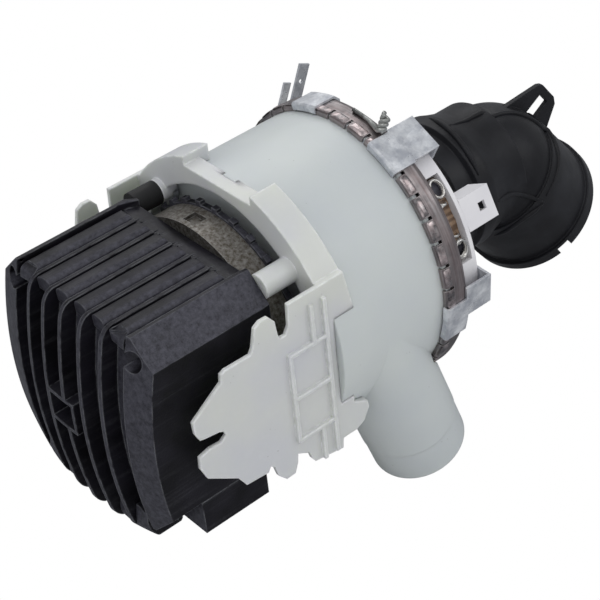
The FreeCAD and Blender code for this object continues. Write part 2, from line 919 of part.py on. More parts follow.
bind(nut, "Height", nut_front - hub_front)
place(nut, (hub_front, 0, 0), "x")
nut_hole = cylinder("nut_hole", shaft, 10, (hub_front - 1, 0, 0))
publish("impeller_nut", cut("impeller_nut", nut, nut_hole))

# Guide ring round the impeller and the suction tube that feeds its eye
guide_back = body_back + wall
guide_inner = tip + 2.5
guide_outer = body_radius - wall - 1.0
guide_profile = [
    (guide_back, guide_inner),
    (guide_back, guide_outer),
    (guide_back + 1.6, guide_outer),
    (guide_back + 1.6, guide_inner),
]
guide_parts = [revolved("guide_disc", guide_profile)]
for number in range(8):
    angle = 45.0 * number + 20.0
    rotation = about_x(angle)
    corner = rotation.multVec(Vector(0, 2.0, tip.number + 3.2))
    guide_parts.append(turned_box(
        "guide_vane%d" % number, 10.0, 1.4, (guide_outer - guide_inner) * 0.79,
        (guide_back + 1.0, corner.y, corner.z), about_x(angle + 24),
    ))
publish("guide_ring", fuse("guide_ring", *guide_parts))
gauge = named("plate_gauge")
neck = named("neck_radius")
tube_profile = [
    (impeller_back + disc + vane_high + 2.4, named("eye_radius") - 0.5),
    (impeller_back + disc + vane_high + 2.4, named("eye_radius") + 1.5),
    (plate_x - 2.8, neck - 0.8),
    (plate_x - 2.8, neck + 8.0),
    (plate_x - 0.1, neck + 8.0),
    (plate_x - 0.1, neck - 2.6),
]
publish("suction_tube", revolved("suction_tube", tube_profile))

# Stainless end plate with the inlet neck, ring heater and crimped edge
plate_profile = [
    (plate_x, neck - gauge),
    (plate_x, body_radius - 0.2),
    (plate_x + gauge, body_radius - 0.2),
    (plate_x + gauge, neck),
    (named("neck_end") - 0.8, neck),
    (named("neck_end"), neck - 0.5),
    (named("neck_end"), neck - gauge),
]
publish("heater_plate", revolved("heater_plate", plate_profile))
ring_heater = torus(
    "heater_ring", body_radius - named("tube_inset"), named("tube_radius"),
    (plate_x + gauge + named("tube_radius") + 0.02, 0, 0),
    about_x(150).multiply(TURN["x"]),
)
bind(ring_heater, "Angle3", 318)
publish("heater_tube", ring_heater)
crimp_profile = [
    (crimp_back, body_radius + 0.2),
    (crimp_back, outer - 0.9),
    (crimp_back + 0.9, outer),
    (crimp_front - 2.4, outer),
    (crimp_front - 0.7, outer - 0.7),
    (crimp_front, outer - 2.4),
    (crimp_front, outer - 5.0),
    (crimp_front - sheet_gauge, outer - 5.0),
    (crimp_front - sheet_gauge, outer - 2.6),
    (crimp_front - 1.4, outer - 1.4),
    (crimp_front - 2.6, outer - sheet_gauge),
    (crimp_back + sheet_gauge, outer - sheet_gauge),
    (crimp_back + sheet_gauge, body_radius + 0.2),
]
crimp = revolved("crimp_turned", crimp_profile)
slits = []
slit_wide = named("slit_wide")
for number in range(int(named("crimp_slits").number)):
    angle = 360.0 / named("crimp_slits").number * number - 1.6
    rotation = about_x(angle)
    corner = rotation.multVec(Vector(0, -slit_wide.number / 2, body_radius.number - 1.0))
    slits.append(turned_box(
        "crimp_slit%d" % number, named("slit_reach"), slit_wide, 6.0,
        (crimp_back - 0.5, corner.y, corner.z), rotation,
    ))
publish("crimp_ring", cut("crimp_ring", crimp, fuse("crimp_slits", *slits)))


def strip(name, profile, width, angle):
    """Folded strip of constant width, its middle at this angle round the shaft."""
    turn = about_x(angle + 90)
    corner = turn.multVec(Vector(0, 0, -width / 2.0))
    return padded(name, "XY_Plane", profile, width, (0, corner.y, corner.z), turn)


def sector(name, profile, start, sweep):
    """Part of a ring from a start angle over a sweep."""
    body = revolved(name, profile, (0, 0, 0), sweep)
    body.Placement = Placement(Vector(0, 0, 0), about_x(start + 90))
    return body


# Sleeve and folded clips that hold the thermostat carrier to the ring
clip_gauge = named("clip_gauge")
roll_inner = outer + 0.1
roll_outer = roll_inner + clip_gauge
sleeve_profile = [
    (crimp_back - 0.7, body_radius + 0.7),
    (crimp_back - 0.7, roll_outer - 0.6),
    (crimp_back, roll_outer),
    (crimp_front - 1.2, roll_outer),
    (crimp_front + 0.9, outer - 1.0),
    (crimp_front + 0.9, outer - 4.0),
    (crimp_front + 0.1, outer - 4.0),
    (crimp_front + 0.1, outer - 1.2),
    (crimp_front - 1.8, roll_inner),
    (crimp_back - 0.1, roll_inner),
    (crimp_back - 0.1, body_radius + 0.7),
]
publish("ring_sleeve", sector("ring_sleeve", sleeve_profile, -22.0, 13.5))
roll_profile = [
    (crimp_back - 0.7, body_radius + 0.7),
    (crimp_back - 0.7, roll_outer - 0.6),
    (crimp_back, roll_outer),
    (crimp_front - 1.0, roll_outer),
    (crimp_front - 1.0, roll_inner),
    (crimp_back - 0.1, roll_inner),
    (crimp_back - 0.1, body_radius + 0.7),
]
clip_top = outer + named("clip_top")


def clip_profile(reach, drop):
    """Section of a folded clip in front of its roll: flat top and turned front."""
    return [
        (crimp_front - 1.6, clip_top - clip_gauge),
        (crimp_front - 1.6, clip_top),
        (reach, clip_top),
        (reach, clip_top - drop),
        (reach - clip_gauge, clip_top - drop),
        (reach - clip_gauge, clip_top - clip_gauge),
    ]


holder_front = named("holder_front")
upper = strip("upper_clip_strip", clip_profile(holder_front + 1.8, 7.4), 14.0, 27.2)
lower = strip("lower_clip_strip", clip_profile(holder_front + 1.3, 6.4), 11.6, 93.2)
upper_roll = sector("upper_clip_roll", roll_profile, 20.5, 15.0)
lower_roll = sector("lower_clip_roll", roll_profile, 91.5, 15.5)
publish("upper_clip", fuse("upper_clip", upper, upper_roll))
publish("lower_clip", fuse("lower_clip", lower, lower_roll))

# Thermostat carrier, insulator, cut-outs and contact springs
inner = body_radius - named("holder_inset")
rim_out = inner + named("holder_depth")
holder_back = named("holder_back")
start = named("holder_start")
sweep = named("holder_sweep")
channel_profile = [
    (holder_back, inner),
    (holder_back, inner + 3.5),
    (holder_back + 1.2, inner + 3.5),
    (holder_back + 1.2, inner + 1.5),
    (holder_front - 1.6, inner + 1.5),
    (holder_front - 1.6, rim_out),
    (holder_front, rim_out),
    (holder_front, inner),
]
block_profile = [
    (holder_back, inner),
    (holder_back, rim_out),
    (holder_front, rim_out),
    (holder_front, inner),
]
first_block = 20.7
last_block = 18.5
holder_parts = [
    sector("holder_channel", channel_profile, start.number, sweep),
    sector("holder_block0", block_profile, start.number, first_block),
    sector("holder_block1", block_profile, start.number + sweep.number - last_block, last_block),
]
publish("thermostat_holder", fuse("thermostat_holder", *holder_parts))
mica_profile = [
    (holder_back + 1.3, inner + 1.6),
    (holder_back + 1.3, inner + 2.6),
    (holder_front - 1.7, inner + 2.6),
    (holder_front - 1.7, inner + 1.6),
]
mica_start = start.number + first_block + 0.2
mica_sweep = sweep.number - first_block - last_block - 0.4
publish("mica_insulator", sector("mica_insulator", mica_profile, mica_start, mica_sweep))
cutouts = []
springs = []
middle = (holder_back + holder_front) / 2 - 0.2
for number, angle in enumerate((47.6, 74.6)):
    radial = about_x(angle)
    seat = radial.multVec(Vector(0, 0, inner.number + 2.7))
    cutouts.append(cylinder(
        "cutout%d" % number, 2.6, 3.0, (middle, seat.y, seat.z), radial
    ))
publish("thermal_cutouts", fuse("thermal_cutouts", *cutouts))
for number, angle in enumerate((58.3, 64.6)):
    springs.append(strip(
        "contact%d" % number,
        [
            (holder_back + 1.5, inner + 2.7),
            (holder_back + 1.5, inner + 5.6),
            (holder_back + 2.3, inner + 5.6),
            (holder_back + 2.3, inner + 3.5),
            (holder_front - 1.8, inner + 3.5),
            (holder_front - 1.8, inner + 2.7),
        ],
        3.2, angle,
    ))
publish("contact_springs", fuse("contact_springs", *springs))

# Connector housing in front of the carrier with its two blades
tower_angle = 62.7
tower_wide = 11.7
tower_front = holder_front + 13.6
tower_profile = [
    (holder_front + 0.05, rim_out - 10.4),
    (holder_front + 0.05, rim_out - 0.2),
    (tower_front, rim_out - 0.2),
    (tower_front, rim_out - 10.4),
]
tower = strip("tower_blank", tower_profile, tower_wide, tower_angle)
tower_room = strip(
    "tower_room",
    [
        (holder_front + 2.0, rim_out - 9.1),
        (holder_front + 2.0, rim_out - 1.5),
        (tower_front + 1.0, rim_out - 1.5),
        (tower_front + 1.0, rim_out - 9.1),
    ],
    tower_wide - 2.6, tower_angle,
)
tower_slot = strip(
    "tower_slot",
    [
        (tower_front - 6.6, rim_out - 3.0),
        (tower_front - 6.6, rim_out + 1.0),
        (tower_front - 3.6, rim_out + 1.0),
        (tower_front - 3.6, rim_out - 3.0),
    ],
    3.0, tower_angle,
)
publish("connector_housing", cut("connector_housing", tower, tower_room, tower_slot))
blade_parts = []
for number, offset in enumerate((-2.6, 2.6)):
    blade_parts.append(strip(
        "connector_blade%d" % number,
        [
            (holder_front + 2.0, rim_out - 8.0),
            (holder_front + 2.0, rim_out - 3.0),
            (tower_front - 2.0, rim_out - 3.0),
            (tower_front - 2.0, rim_out - 8.0),
        ],
        0.8, tower_angle + math.degrees(offset / 42.0),
    ))
publish("connector_blades", fuse("connector_blades", *blade_parts))

# Heater blade terminals and the twisted binding wire
lean = Rotation(Vector(0, 1, 0), 24.0)
root_x = crimp_front + 0.1
tab_thick = 0.8


def terminal(name, angle, seat, wide, tall):
    """Blade terminal: a root in front of the ring and a leaning blade above it."""
    turn = about_x(angle)
    low = turn.multVec(Vector(0, -wide / 2, body_radius.number - 4.2))
    root = turned_box(
        name + "_root", tab_thick, wide, seat - body_radius.number + 4.2 + 0.6,
        (root_x, low.y, low.z), turn,
    )
    foot = turn.multVec(Vector(0, 0, seat))
    blade = turned_box(
        name + "_blade", wide, tab_thick, tall,
        (root_x, foot.y - tab_thick / 2, foot.z - 1.2), lean,
    )
    return root, blade, foot


root_a, blade_a, foot_a = terminal("terminal_a", -55.5, 52.6, 3.2, 13.2)
root_b, blade_b, foot_b = terminal("terminal_b", -42.3, 51.6, 4.6, 15.8)
hole_at = lean.multVec(Vector(2.3, -3.0, 9.4))
tab_hole = cylinder(
    "terminal_hole", 0.8, 6,
    (root_x + hole_at.x, foot_b.y + hole_at.y, foot_b.z - 1.2 + hole_at.z), "y",
)
tab_b = cut("terminal_b", fuse("terminal_b_blank", root_b, blade_b), tab_hole)
publish("heater_terminals", fuse("heater_terminals", root_a, blade_a, tab_b))
wire_radius = 0.7
wire_arc = torus(
    "wire_arc", outer + wire_radius + 0.02, wire_radius, (6.2, 0, 0),
    about_x(184.0).multiply(TURN["x"]),
)
bind(wire_arc, "Angle3", 15.0)
wire_angle = about_x(15.5)
wire_seat = wire_angle.multVec(Vector(0, 0, outer.number + 0.7))
wire_lean = wire_angle.multiply(Rotation(Vector(0, 1, 0), 24.0))
wire_twist = cylinder("wire_twist", 1.3, 7.6, (6.4, wire_seat.y, wire_seat.z), wire_lean)
publish("binding_wire", fuse("binding_wire", wire_arc, wire_twist))

# Rubber inlet elbow: flared neck, bulb, cuff with a notched rim, and a hanging ear
bend = named("elbow_bend")
vertex = named("elbow_vertex")
elbow_wall = named("elbow_wall")
neck_out = named("elbow_neck")
cuff_turn = Rotation(Vector(0, 1, 0), 90 + bend.number)
bend_x = cosine(bend)
bend_z = sine(bend)


def along_cuff(distance):
    """Point on the cuff axis at this distance from the bend."""
    return (vertex + bend_x * distance, size(0), -(bend_z * distance))


cuff_length = named("cuff_length")
neck_profile = [
    (36.0, neck + 0.05),
    (36.0, neck + 3.4),
    (43.6, neck + 3.4),
    (44.6, neck + 5.4),
    (50.2, neck + 5.8),
    (53.0, neck + 4.8),
    (58.5, neck_out),
    (vertex, neck_out),
    (vertex, neck + 0.05),
]
elbow_parts = [
    revolved("elbow_neck", neck_profile),
    sphere("elbow_bulb", named("bulb_radius"), along_cuff(7.0)),
    cylinder(
        "elbow_cuff", named("cuff_radius"), cuff_length - 8.0, along_cuff(8.0), cuff_turn
    ),
    cylinder("elbow_rim", named("cuff_rim"), 4.6, along_cuff(cuff_length - 4.6), cuff_turn),
]
ear_outline = [
    (80.5, 17.0),
    (98.2, 18.4),
    (100.4, 17.6),
    (106.3, 9.7),
    (106.8, 6.4),
    (102.6, -1.6),
    (92.0, -6.0),
    (82.0, 8.0),
]
ear = padded("elbow_ear", "XZ_Plane", ear_outline, 3.6, (0, 1.8, 0))
ear_slot = padded(
    "elbow_ear_slot", "XZ_Plane",
    [(98.7, 13.4), (101.8, 9.3), (96.1, 5.8), (92.4, 9.8)], 12.0, (0, 6.0, 0),
)
elbow_parts.append(ear)
elbow_outer = fuse("elbow_outer", *elbow_parts)
elbow_hollow = fuse(
    "elbow_hollow",
    cylinder("elbow_neck_bore", neck + 0.05, vertex - 30.0, (32.0, 0, 0)),
    sphere("elbow_bulb_bore", named("bulb_radius") - elbow_wall, along_cuff(7.0)),
    cylinder(
        "elbow_cuff_bore", named("cuff_radius") - elbow_wall, cuff_length + 2.0,
        along_cuff(6.0), cuff_turn,
    ),
)
notch_centre = along_cuff(cuff_length - 3.4)
notch_turn = cuff_turn.multiply(Rotation(Vector(0, 0, 1), -72.0))
notch_corner = notch_turn.multVec(Vector(named("cuff_radius").number - 4.0, -2.6, 0))
rim_notch = turned_box(
    "elbow_notch", 8.0, 5.2, 6.0,
    (notch_centre[0] + notch_corner.x, notch_corner.y, notch_centre[2] + notch_corner.z),
    notch_turn,
)
publish("inlet_elbow", cut("inlet_elbow", elbow_outer, elbow_hollow, ear_slot, rim_notch))

# Screws that hold the bracket to the housing, and the black spacers on the far posts
screws = []
spacers = []
for index, (side, up) in enumerate(((-1, 1), (1, 1), (1, -1), (-1, -1))):
    spot = ((post - 1.0) * side, (post - 1.0) * up)
    screws.append(cylinder(
        "screw_shank%d" % index, named("screw_radius"), collar_back + 2.2 - front + 11.0,
        (front - 11.0, spot[0], spot[1]),
    ))
    screws.append(cylinder(
        "screw_head%d" % index, named("screw_head"), 2.2,
        (collar_back + 2.0, spot[0], spot[1]),
    ))
    if side > 0:
        spacer = cylinder(
            "spacer_blank%d" % index, named("post_radius"), collar_back - 2.1 - front,
            (front + 0.05, post * side, post * up),
        )
        spacer_bore = cylinder(
            "spacer_bore%d" % index, named("screw_radius") + named("screw_gap"), 30,
            (front - 5, spot[0], spot[1]),
        )
        spacers.append(cut("spacer%d" % index, spacer, spacer_bore))
publish("bracket_screws", fuse("bracket_screws", *screws))
publish("bracket_spacers", fuse("bracket_spacers", *spacers))

# Everything is checked before it is written
doc.recompute()
for obj in doc.Objects:
    if "Invalid" in obj.State or "Error" in obj.State:
        raise RuntimeError("%s is in state %s" % (obj.Name, obj.State))
os.makedirs("parts", exist_ok=True)
for node, obj in nodes.items():
    shape = obj.Shape
    if shape.isNull() or not shape.isValid() or not shape.Solids:
        raise RuntimeError("%s has no valid solid" % node)
    print("%-22s solids %2d  volume %9.1f" % (node, len(shape.Solids), shape.Volume))
    shape.exportStep("parts/%s.step" % node)
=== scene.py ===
import logging
import math
from dataclasses import dataclass
from enum import Enum
from typing import Sequence

import bmesh
import bpy
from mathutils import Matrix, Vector
from mathutils.bvhtree import BVHTree


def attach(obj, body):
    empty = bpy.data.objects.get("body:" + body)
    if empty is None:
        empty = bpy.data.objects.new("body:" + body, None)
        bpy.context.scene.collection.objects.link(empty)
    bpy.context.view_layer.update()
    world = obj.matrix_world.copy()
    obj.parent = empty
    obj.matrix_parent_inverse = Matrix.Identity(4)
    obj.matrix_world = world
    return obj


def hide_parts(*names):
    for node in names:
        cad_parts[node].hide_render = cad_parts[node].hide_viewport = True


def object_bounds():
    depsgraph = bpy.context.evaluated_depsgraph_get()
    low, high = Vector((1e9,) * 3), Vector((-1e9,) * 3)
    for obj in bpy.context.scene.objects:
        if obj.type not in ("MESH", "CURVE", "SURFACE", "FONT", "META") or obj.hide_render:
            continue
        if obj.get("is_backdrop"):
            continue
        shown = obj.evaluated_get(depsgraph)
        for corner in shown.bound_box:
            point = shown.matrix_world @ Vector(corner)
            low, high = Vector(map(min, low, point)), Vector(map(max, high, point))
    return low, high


Colour = tuple[float, float, float]
Point = tuple[float, float, float]

WHITE = (1, 1, 1, 1)
NEAR_SIDE_TOP = (0.0, -0.64, 0.77)
REAR = (-1.0, 0.0, 0.0)

LOG = logging.getLogger("pump")

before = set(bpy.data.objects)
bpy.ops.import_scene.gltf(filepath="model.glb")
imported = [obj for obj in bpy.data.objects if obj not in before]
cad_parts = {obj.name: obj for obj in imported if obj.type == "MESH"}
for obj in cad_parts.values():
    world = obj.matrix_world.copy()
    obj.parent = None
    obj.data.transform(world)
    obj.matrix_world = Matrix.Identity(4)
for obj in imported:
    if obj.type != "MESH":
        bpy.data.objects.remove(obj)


class Grain(Enum):
    """Direction in which the fine marks of a surface run."""

    EVEN = "even"
    ROUND_SHAFT = "round_shaft"
    ALONG_SHAFT = "along_shaft"


class Graph:
    """Node tree of one material, with short calls for the nodes the finishes share."""

    def __init__(self, name: str) -> None:
        """Start an empty tree with its output and its object coordinates.

        Args:
            name: Name of the new material.
        """
        self.material = bpy.data.materials.new(name)
        self.material.use_nodes = True
        self.tree = self.material.node_tree
        self.tree.nodes.clear()
        self.output = self.tree.nodes.new("ShaderNodeOutputMaterial")
        self.place = self.tree.nodes.new("ShaderNodeTexCoord").outputs["Object"]

    def feed(self, socket: bpy.types.NodeSocket, value: object) -> None:
        """Link a socket, or set its constant.

        Args:
            socket: Input socket of a node.
            value: Output socket, number or tuple.
        """
        if isinstance(value, bpy.types.NodeSocket):
            self.tree.links.new(value, socket)
        else:
            socket.default_value = value

    def node(self, kind: str, sockets: dict, **settings: object) -> bpy.types.Node:
        """Add a node.

        Args:
            kind: Node type.
            sockets: Values or links by socket name or number.
            **settings: Attributes of the node.

        Returns:
            The new node.
        """
        made = self.tree.nodes.new(kind)
        for key, value in settings.items():
            setattr(made, key, value)
        for key, value in sockets.items():
            self.feed(made.inputs[key], value)
        return made

    def math(self, operation: str, *values: object) -> bpy.types.NodeSocket:
        """Combine numbers with one arithmetic step.

        Args:
            operation: Name of the operation.
            *values: Numbers or sockets.

        Returns:
            The result's socket.
        """
        made = self.node("ShaderNodeMath", dict(enumerate(values)), operation=operation)
        return made.outputs[0]

    def along(self, grain: Grain) -> bpy.types.NodeSocket:
        """Coordinates stretched so that a noise runs the way the marks do.

        Args:
            grain: Direction of the marks.

        Returns:
            Socket with the coordinates.
        """
        if grain is Grain.EVEN:
            return self.place
        if grain is Grain.ALONG_SHAFT:
            made = self.node("ShaderNodeMapping", {"Vector": self.place, "Scale": (0.04, 1, 1)})
            return made.outputs[0]
        parts = self.node("ShaderNodeSeparateXYZ", {0: self.place}).outputs
        squares = [self.math("MULTIPLY", parts[i], parts[i]) for i in (1, 2)]
        radius = self.math("SQRT", self.math("ADD", *squares))
        turn = self.math("MULTIPLY", self.math("ARCTAN2", parts[1], parts[2]), 0.003)
        return self.node("ShaderNodeCombineXYZ", {0: parts[0], 1: radius, 2: turn}).outputs[0]

    def noise(
        self, scale: float, detail: float = 3.0, rough: float = 0.55,
        place: bpy.types.NodeSocket | None = None,
    ) -> bpy.types.NodeSocket:
        """Fractal noise.

        Args:
            scale: Features per metre.
            detail: Octaves.
            rough: Weight of the fine octaves.
            place: Coordinates, the object's own if left out.

        Returns:
            Socket with a value round one half.
        """
        made = self.node("ShaderNodeTexNoise", {
            "Vector": place or self.place, "Scale": scale, "Detail": detail, "Roughness": rough,
        })
        return made.outputs["Fac"]

    def cells(self, scale: float, feature: str = "F1") -> bpy.types.Node:
        """Cell pattern.

        Args:
            scale: Cells per metre.
            feature: Kind of distance that is measured.

        Returns:
            The pattern's node.
        """
        return self.node(
            "ShaderNodeTexVoronoi", {"Vector": self.place, "Scale": scale}, feature=feature
        )

    def span(
        self, value: object, low: float, high: float, start: float = 0.0, end: float = 1.0
    ) -> bpy.types.NodeSocket:
        """Move a range of values to another, held at its ends.

        Args:
            value: Socket to read.
            low: Value that gives start.
            high: Value that gives end.
            start: First result.
            end: Last result.

        Returns:
            Socket with the result.
        """
        return self.node(
            "ShaderNodeMapRange", {0: value, 1: low, 2: high, 3: start, 4: end}, clamp=True
        ).outputs[0]

    def mix(self, factor: object, first: object, second: object) -> bpy.types.NodeSocket:
        """Blend two colours.

        Args:
            factor: Share of the second colour.
            first: Colour or socket.
            second: Colour or socket.

        Returns:
            Socket with the colour.
        """
        made = self.tree.nodes.new("ShaderNodeMix")
        made.data_type = "RGBA"
        self.feed(made.inputs[0], factor)
        for socket, value in ((made.inputs[6], first), (made.inputs[7], second)):
            solid = isinstance(value, tuple) and len(value) == 3
            self.feed(socket, (*value, 1.0) if solid else value)
        return made.outputs[2]

    def bump(self, height: object, depth: float, normal: object) -> bpy.types.NodeSocket:
        """Relief on top of another normal.

        Args:
            height: Socket with the relief.
            depth: Depth in metres.
            normal: Normal to start from.

        Returns:
            Socket with the new normal.
        """
        return self.node("ShaderNodeBump", {
            "Height": height, "Distance": depth, "Strength": 1.0, "Normal": normal,
        }).outputs[0]

    def rounded(self, radius: float) -> bpy.types.NodeSocket:
        """Normal that softens sharp edges over a radius in metres.

        Args:
            radius: Width of the softened band.

        Returns:
            Socket with the normal.
        """
        return self.node("ShaderNodeBevel", {"Radius": radius}, samples=6).outputs[0]

    def facing(self, side: object) -> bpy.types.NodeSocket:
        """How far the unsoftened surface looks in a direction.

        Args:
            side: Direction, or socket with one.

        Returns:
            Socket with the cosine of the angle between them.
        """
        plain = self.tree.nodes.new("ShaderNodeNewGeometry").outputs["Normal"]
        return self.node(
            "ShaderNodeVectorMath", {0: plain, 1: side}, operation="DOT_PRODUCT"
        ).outputs["Value"]

    def edges(self, soft: bpy.types.NodeSocket) -> bpy.types.NodeSocket:
        """How near a point is to a sharp edge.

        Args:
            soft: Softened normal.

        Returns:
            Socket from 0 on flats to 1 on edges.
        """
        return self.span(self.facing(soft), 0.995, 0.86)

    def close(self, **sockets: object) -> bpy.types.Material:
        """Put the surface shader on the output.

        Args:
            **sockets: Values of the shader, with _ for each space.

        Returns:
            The finished material.
        """
        named = {key.replace("_", " "): value for key, value in sockets.items()}
        shader = self.node("ShaderNodeBsdfPrincipled", named)
        self.tree.links.new(shader.outputs[0], self.output.inputs[0])
        return self.material


@dataclass(frozen=True)
class PlasticFinish:
    """Moulded plastic: slow colour change, mould grain, worn edges, specks, and a painted sheen on
    faces turned up toward the near side and toward the rear.
    """

    name: str
    tone: Colour
    tint: Colour
    edge_tone: Colour
    rough: float = 0.42
    edge_share: float = 0.4
    edge_radius: float = 0.0005
    cloud: float = 28.0
    grain: float = 1800.0
    grain_depth: float = 0.00003
    scuff: float = 0.1
    speck: float = 0.0
    glow: float = 0.0
    gloss: float = 0.5
    flow: Grain = Grain.EVEN
    # Colour and strengths of the painted sheen: a painted highlight on faces turned up toward the
    # near side and a painted reflection on faces turned to the rear.
    dust_and_sheen: Colour = (0.5, 0.5, 0.5)
    painted_sheen_top: float = 0.0
    painted_sheen_rear: float = 0.0

    def build(self) -> bpy.types.Material:
        """Make the material.

        Returns:
            The material.
        """
        graph = Graph(self.name)
        soft = graph.rounded(self.edge_radius)
        colour = graph.mix(graph.span(graph.noise(self.cloud), 0.35, 0.65), self.tone, self.tint)
        marks = graph.noise(420.0, 6.0, 0.7, graph.along(self.flow))
        fine = graph.noise(900.0, 4.0, 0.75)
        scuffs = graph.math("MULTIPLY", graph.span(marks, 0.50, 0.75), self.scuff)
        scuffs = graph.math("MULTIPLY", scuffs, graph.span(fine, 0.35, 0.6, 0.25, 1.0))
        colour = graph.mix(scuffs, colour, self.edge_tone)
        worn = graph.math("MULTIPLY", graph.edges(soft), graph.span(graph.noise(300.0), 0.3, 0.6))
        colour = graph.mix(graph.math("MULTIPLY", worn, self.edge_share), colour, self.edge_tone)
        if self.speck:
            near = graph.cells(260.0).outputs["Distance"]
            dots = graph.math("MULTIPLY", graph.span(near, 0.075, 0.045), self.speck)
            pick = graph.span(graph.noise(60.0, 1.0), 0.53, 0.6)
            colour = graph.mix(graph.math("MULTIPLY", dots, pick), colour, (0.10, 0.09, 0.08))
        # Painted sheen: faces turned up toward the near side get a painted highlight, faces turned to
        # the rear get a painted reflection, both broken up by noise.
        if self.painted_sheen_top or self.painted_sheen_rear:
            painted_sheen_above = graph.span(graph.facing(NEAR_SIDE_TOP), 0.74, 0.98, 0.0, self.painted_sheen_top)
            painted_sheen_behind = graph.span(graph.facing(REAR), 0.35, 0.9, 0.0, self.painted_sheen_rear)
            dust_and_sheen_share = graph.math("MAXIMUM", painted_sheen_above, painted_sheen_behind)
            broken = graph.span(graph.noise(520.0, 6.0, 0.8), 0.36, 0.64, 0.25, 1.0)
            colour = graph.mix(graph.math("MULTIPLY", dust_and_sheen_share, broken), colour, self.dust_and_sheen)
        grain = graph.noise(self.grain, 2.0)
        rough = graph.span(graph.noise(90.0, 5.0), 0.3, 0.7, self.rough - 0.07, self.rough + 0.09)
        return graph.close(
            Base_Color=colour, Roughness=rough,
            Normal=graph.bump(grain, self.grain_depth, soft),
            Subsurface_Weight=self.glow, Subsurface_Radius=(0.9, 1.0, 0.75),
            Subsurface_Scale=0.004, IOR=1.48, Specular_IOR_Level=self.gloss,
        )


@dataclass(frozen=True)
class MetalFinish:
    """Sheet or turned metal: streaks or spangle, heat tint, smudges and bright edges."""

    name: str
    tone: Colour
    tint: Colour
    rough: float = 0.35
    grain: Grain = Grain.EVEN
    streak: float = 900.0
    spangle: float = 0.0
    tint_share: float = 0.5
    patch: float = 70.0
    edge_radius: float = 0.00025
    shine: float = 1.0

    def build(self) -> bpy.types.Material:
        """Make the material.

        Returns:
            The material.
        """
        graph = Graph(self.name)
        soft = graph.rounded(self.edge_radius)
        patch = graph.span(graph.noise(self.patch, 5.0, 0.65), 0.4, 0.66, 0.0, self.tint_share)
        colour = graph.mix(patch, self.tone, self.tint)
        streaks = graph.noise(self.streak, 4.0, 0.6, graph.along(self.grain))
        colour = graph.mix(graph.span(streaks, 0.35, 0.7, 0.0, 0.25), colour, (0.9, 0.9, 0.9))
        relief = streaks
        if self.spangle:
            leaf = graph.cells(self.spangle).outputs["Color"]
            grey = graph.node("ShaderNodeSeparateColor", {0: leaf}).outputs[0]
            colour = graph.mix(graph.math("MULTIPLY", grey, 0.22), colour, (0.25, 0.27, 0.3))
            relief = graph.math("ADD", streaks, graph.math("MULTIPLY", grey, 0.5))
        colour = graph.mix(graph.math("MULTIPLY", graph.edges(soft), 0.35), colour, (0.95,) * 3)
        low, high = self.rough - 0.1, self.rough + 0.14
        rough = graph.span(graph.noise(240.0, 5.0), 0.3, 0.7, low, high)
        return graph.close(
            Base_Color=colour, Metallic=self.shine, Roughness=rough,
            Normal=graph.bump(relief, 0.00004, soft),
        )


@dataclass(frozen=True)
class RubberFinish:
    """Satin rubber: faint bloom of dust, mould grain and rubbed edges."""

    name: str
    tone: Colour
    dust_and_sheen: Colour
    rough: float = 0.4
    bloom: float = 0.25
    gloss: float = 0.25

    def build(self) -> bpy.types.Material:
        """Make the material.

        Returns:
            The material.
        """
        graph = Graph(self.name)
        soft = graph.rounded(0.0008)
        dust_and_sheen_share = graph.span(graph.noise(45.0, 5.0, 0.6), 0.42, 0.72, 0.0, self.bloom)
        colour = graph.mix(dust_and_sheen_share, self.tone, self.dust_and_sheen)
        near = graph.cells(170.0).outputs["Distance"]
        colour = graph.mix(graph.span(near, 0.05, 0.02, 0.0, 0.5), colour, self.dust_and_sheen)
        colour = graph.mix(graph.math("MULTIPLY", graph.edges(soft), 0.2), colour, self.dust_and_sheen)
        grain = graph.math("ADD", graph.noise(2600.0, 2.0), graph.noise(160.0, 3.0))
        rough = graph.span(graph.noise(70.0, 4.0), 0.3, 0.7, self.rough - 0.08, self.rough + 0.12)
        return graph.close(
            Base_Color=colour, Roughness=rough, Normal=graph.bump(grain, 0.00005, soft),
            Sheen_Weight=0.02, Sheen_Roughness=0.5, Specular_IOR_Level=self.gloss,
        )


@dataclass(frozen=True)
class LayeredFinish:
    """Stacked, wound or flaked stuff whose look is its fine parallel lines."""

    name: str
    tone: Colour
    line: Colour
    pitch: float
    axis: str = "X"
    shine: float = 0.0
    rough: float = 0.5
    depth: float = 0.0001

    def build(self) -> bpy.types.Material:
        """Make the material.

        Returns:
            The material.
        """
        graph = Graph(self.name)
        soft = graph.rounded(0.0002)
        wave = graph.node(
            "ShaderNodeTexWave",
            {"Vector": graph.place, "Scale": self.pitch, "Distortion": 0.4, "Detail": 1.0},
            bands_direction=self.axis,
        ).outputs["Fac"]
        colour = graph.mix(graph.span(wave, 0.2, 0.8), self.line, self.tone)
        colour = graph.mix(graph.span(graph.noise(160.0, 5.0), 0.4, 0.8, 0.0, 0.5), colour, self.line)
        rough = graph.span(graph.noise(300.0), 0.3, 0.7, self.rough - 0.08, self.rough + 0.1)
        return graph.close(
            Base_Color=colour, Metallic=self.shine, Roughness=rough,
            Normal=graph.bump(wave, self.depth, soft),
        )


Finish = PlasticFinish | MetalFinish | RubberFinish | LayeredFinish

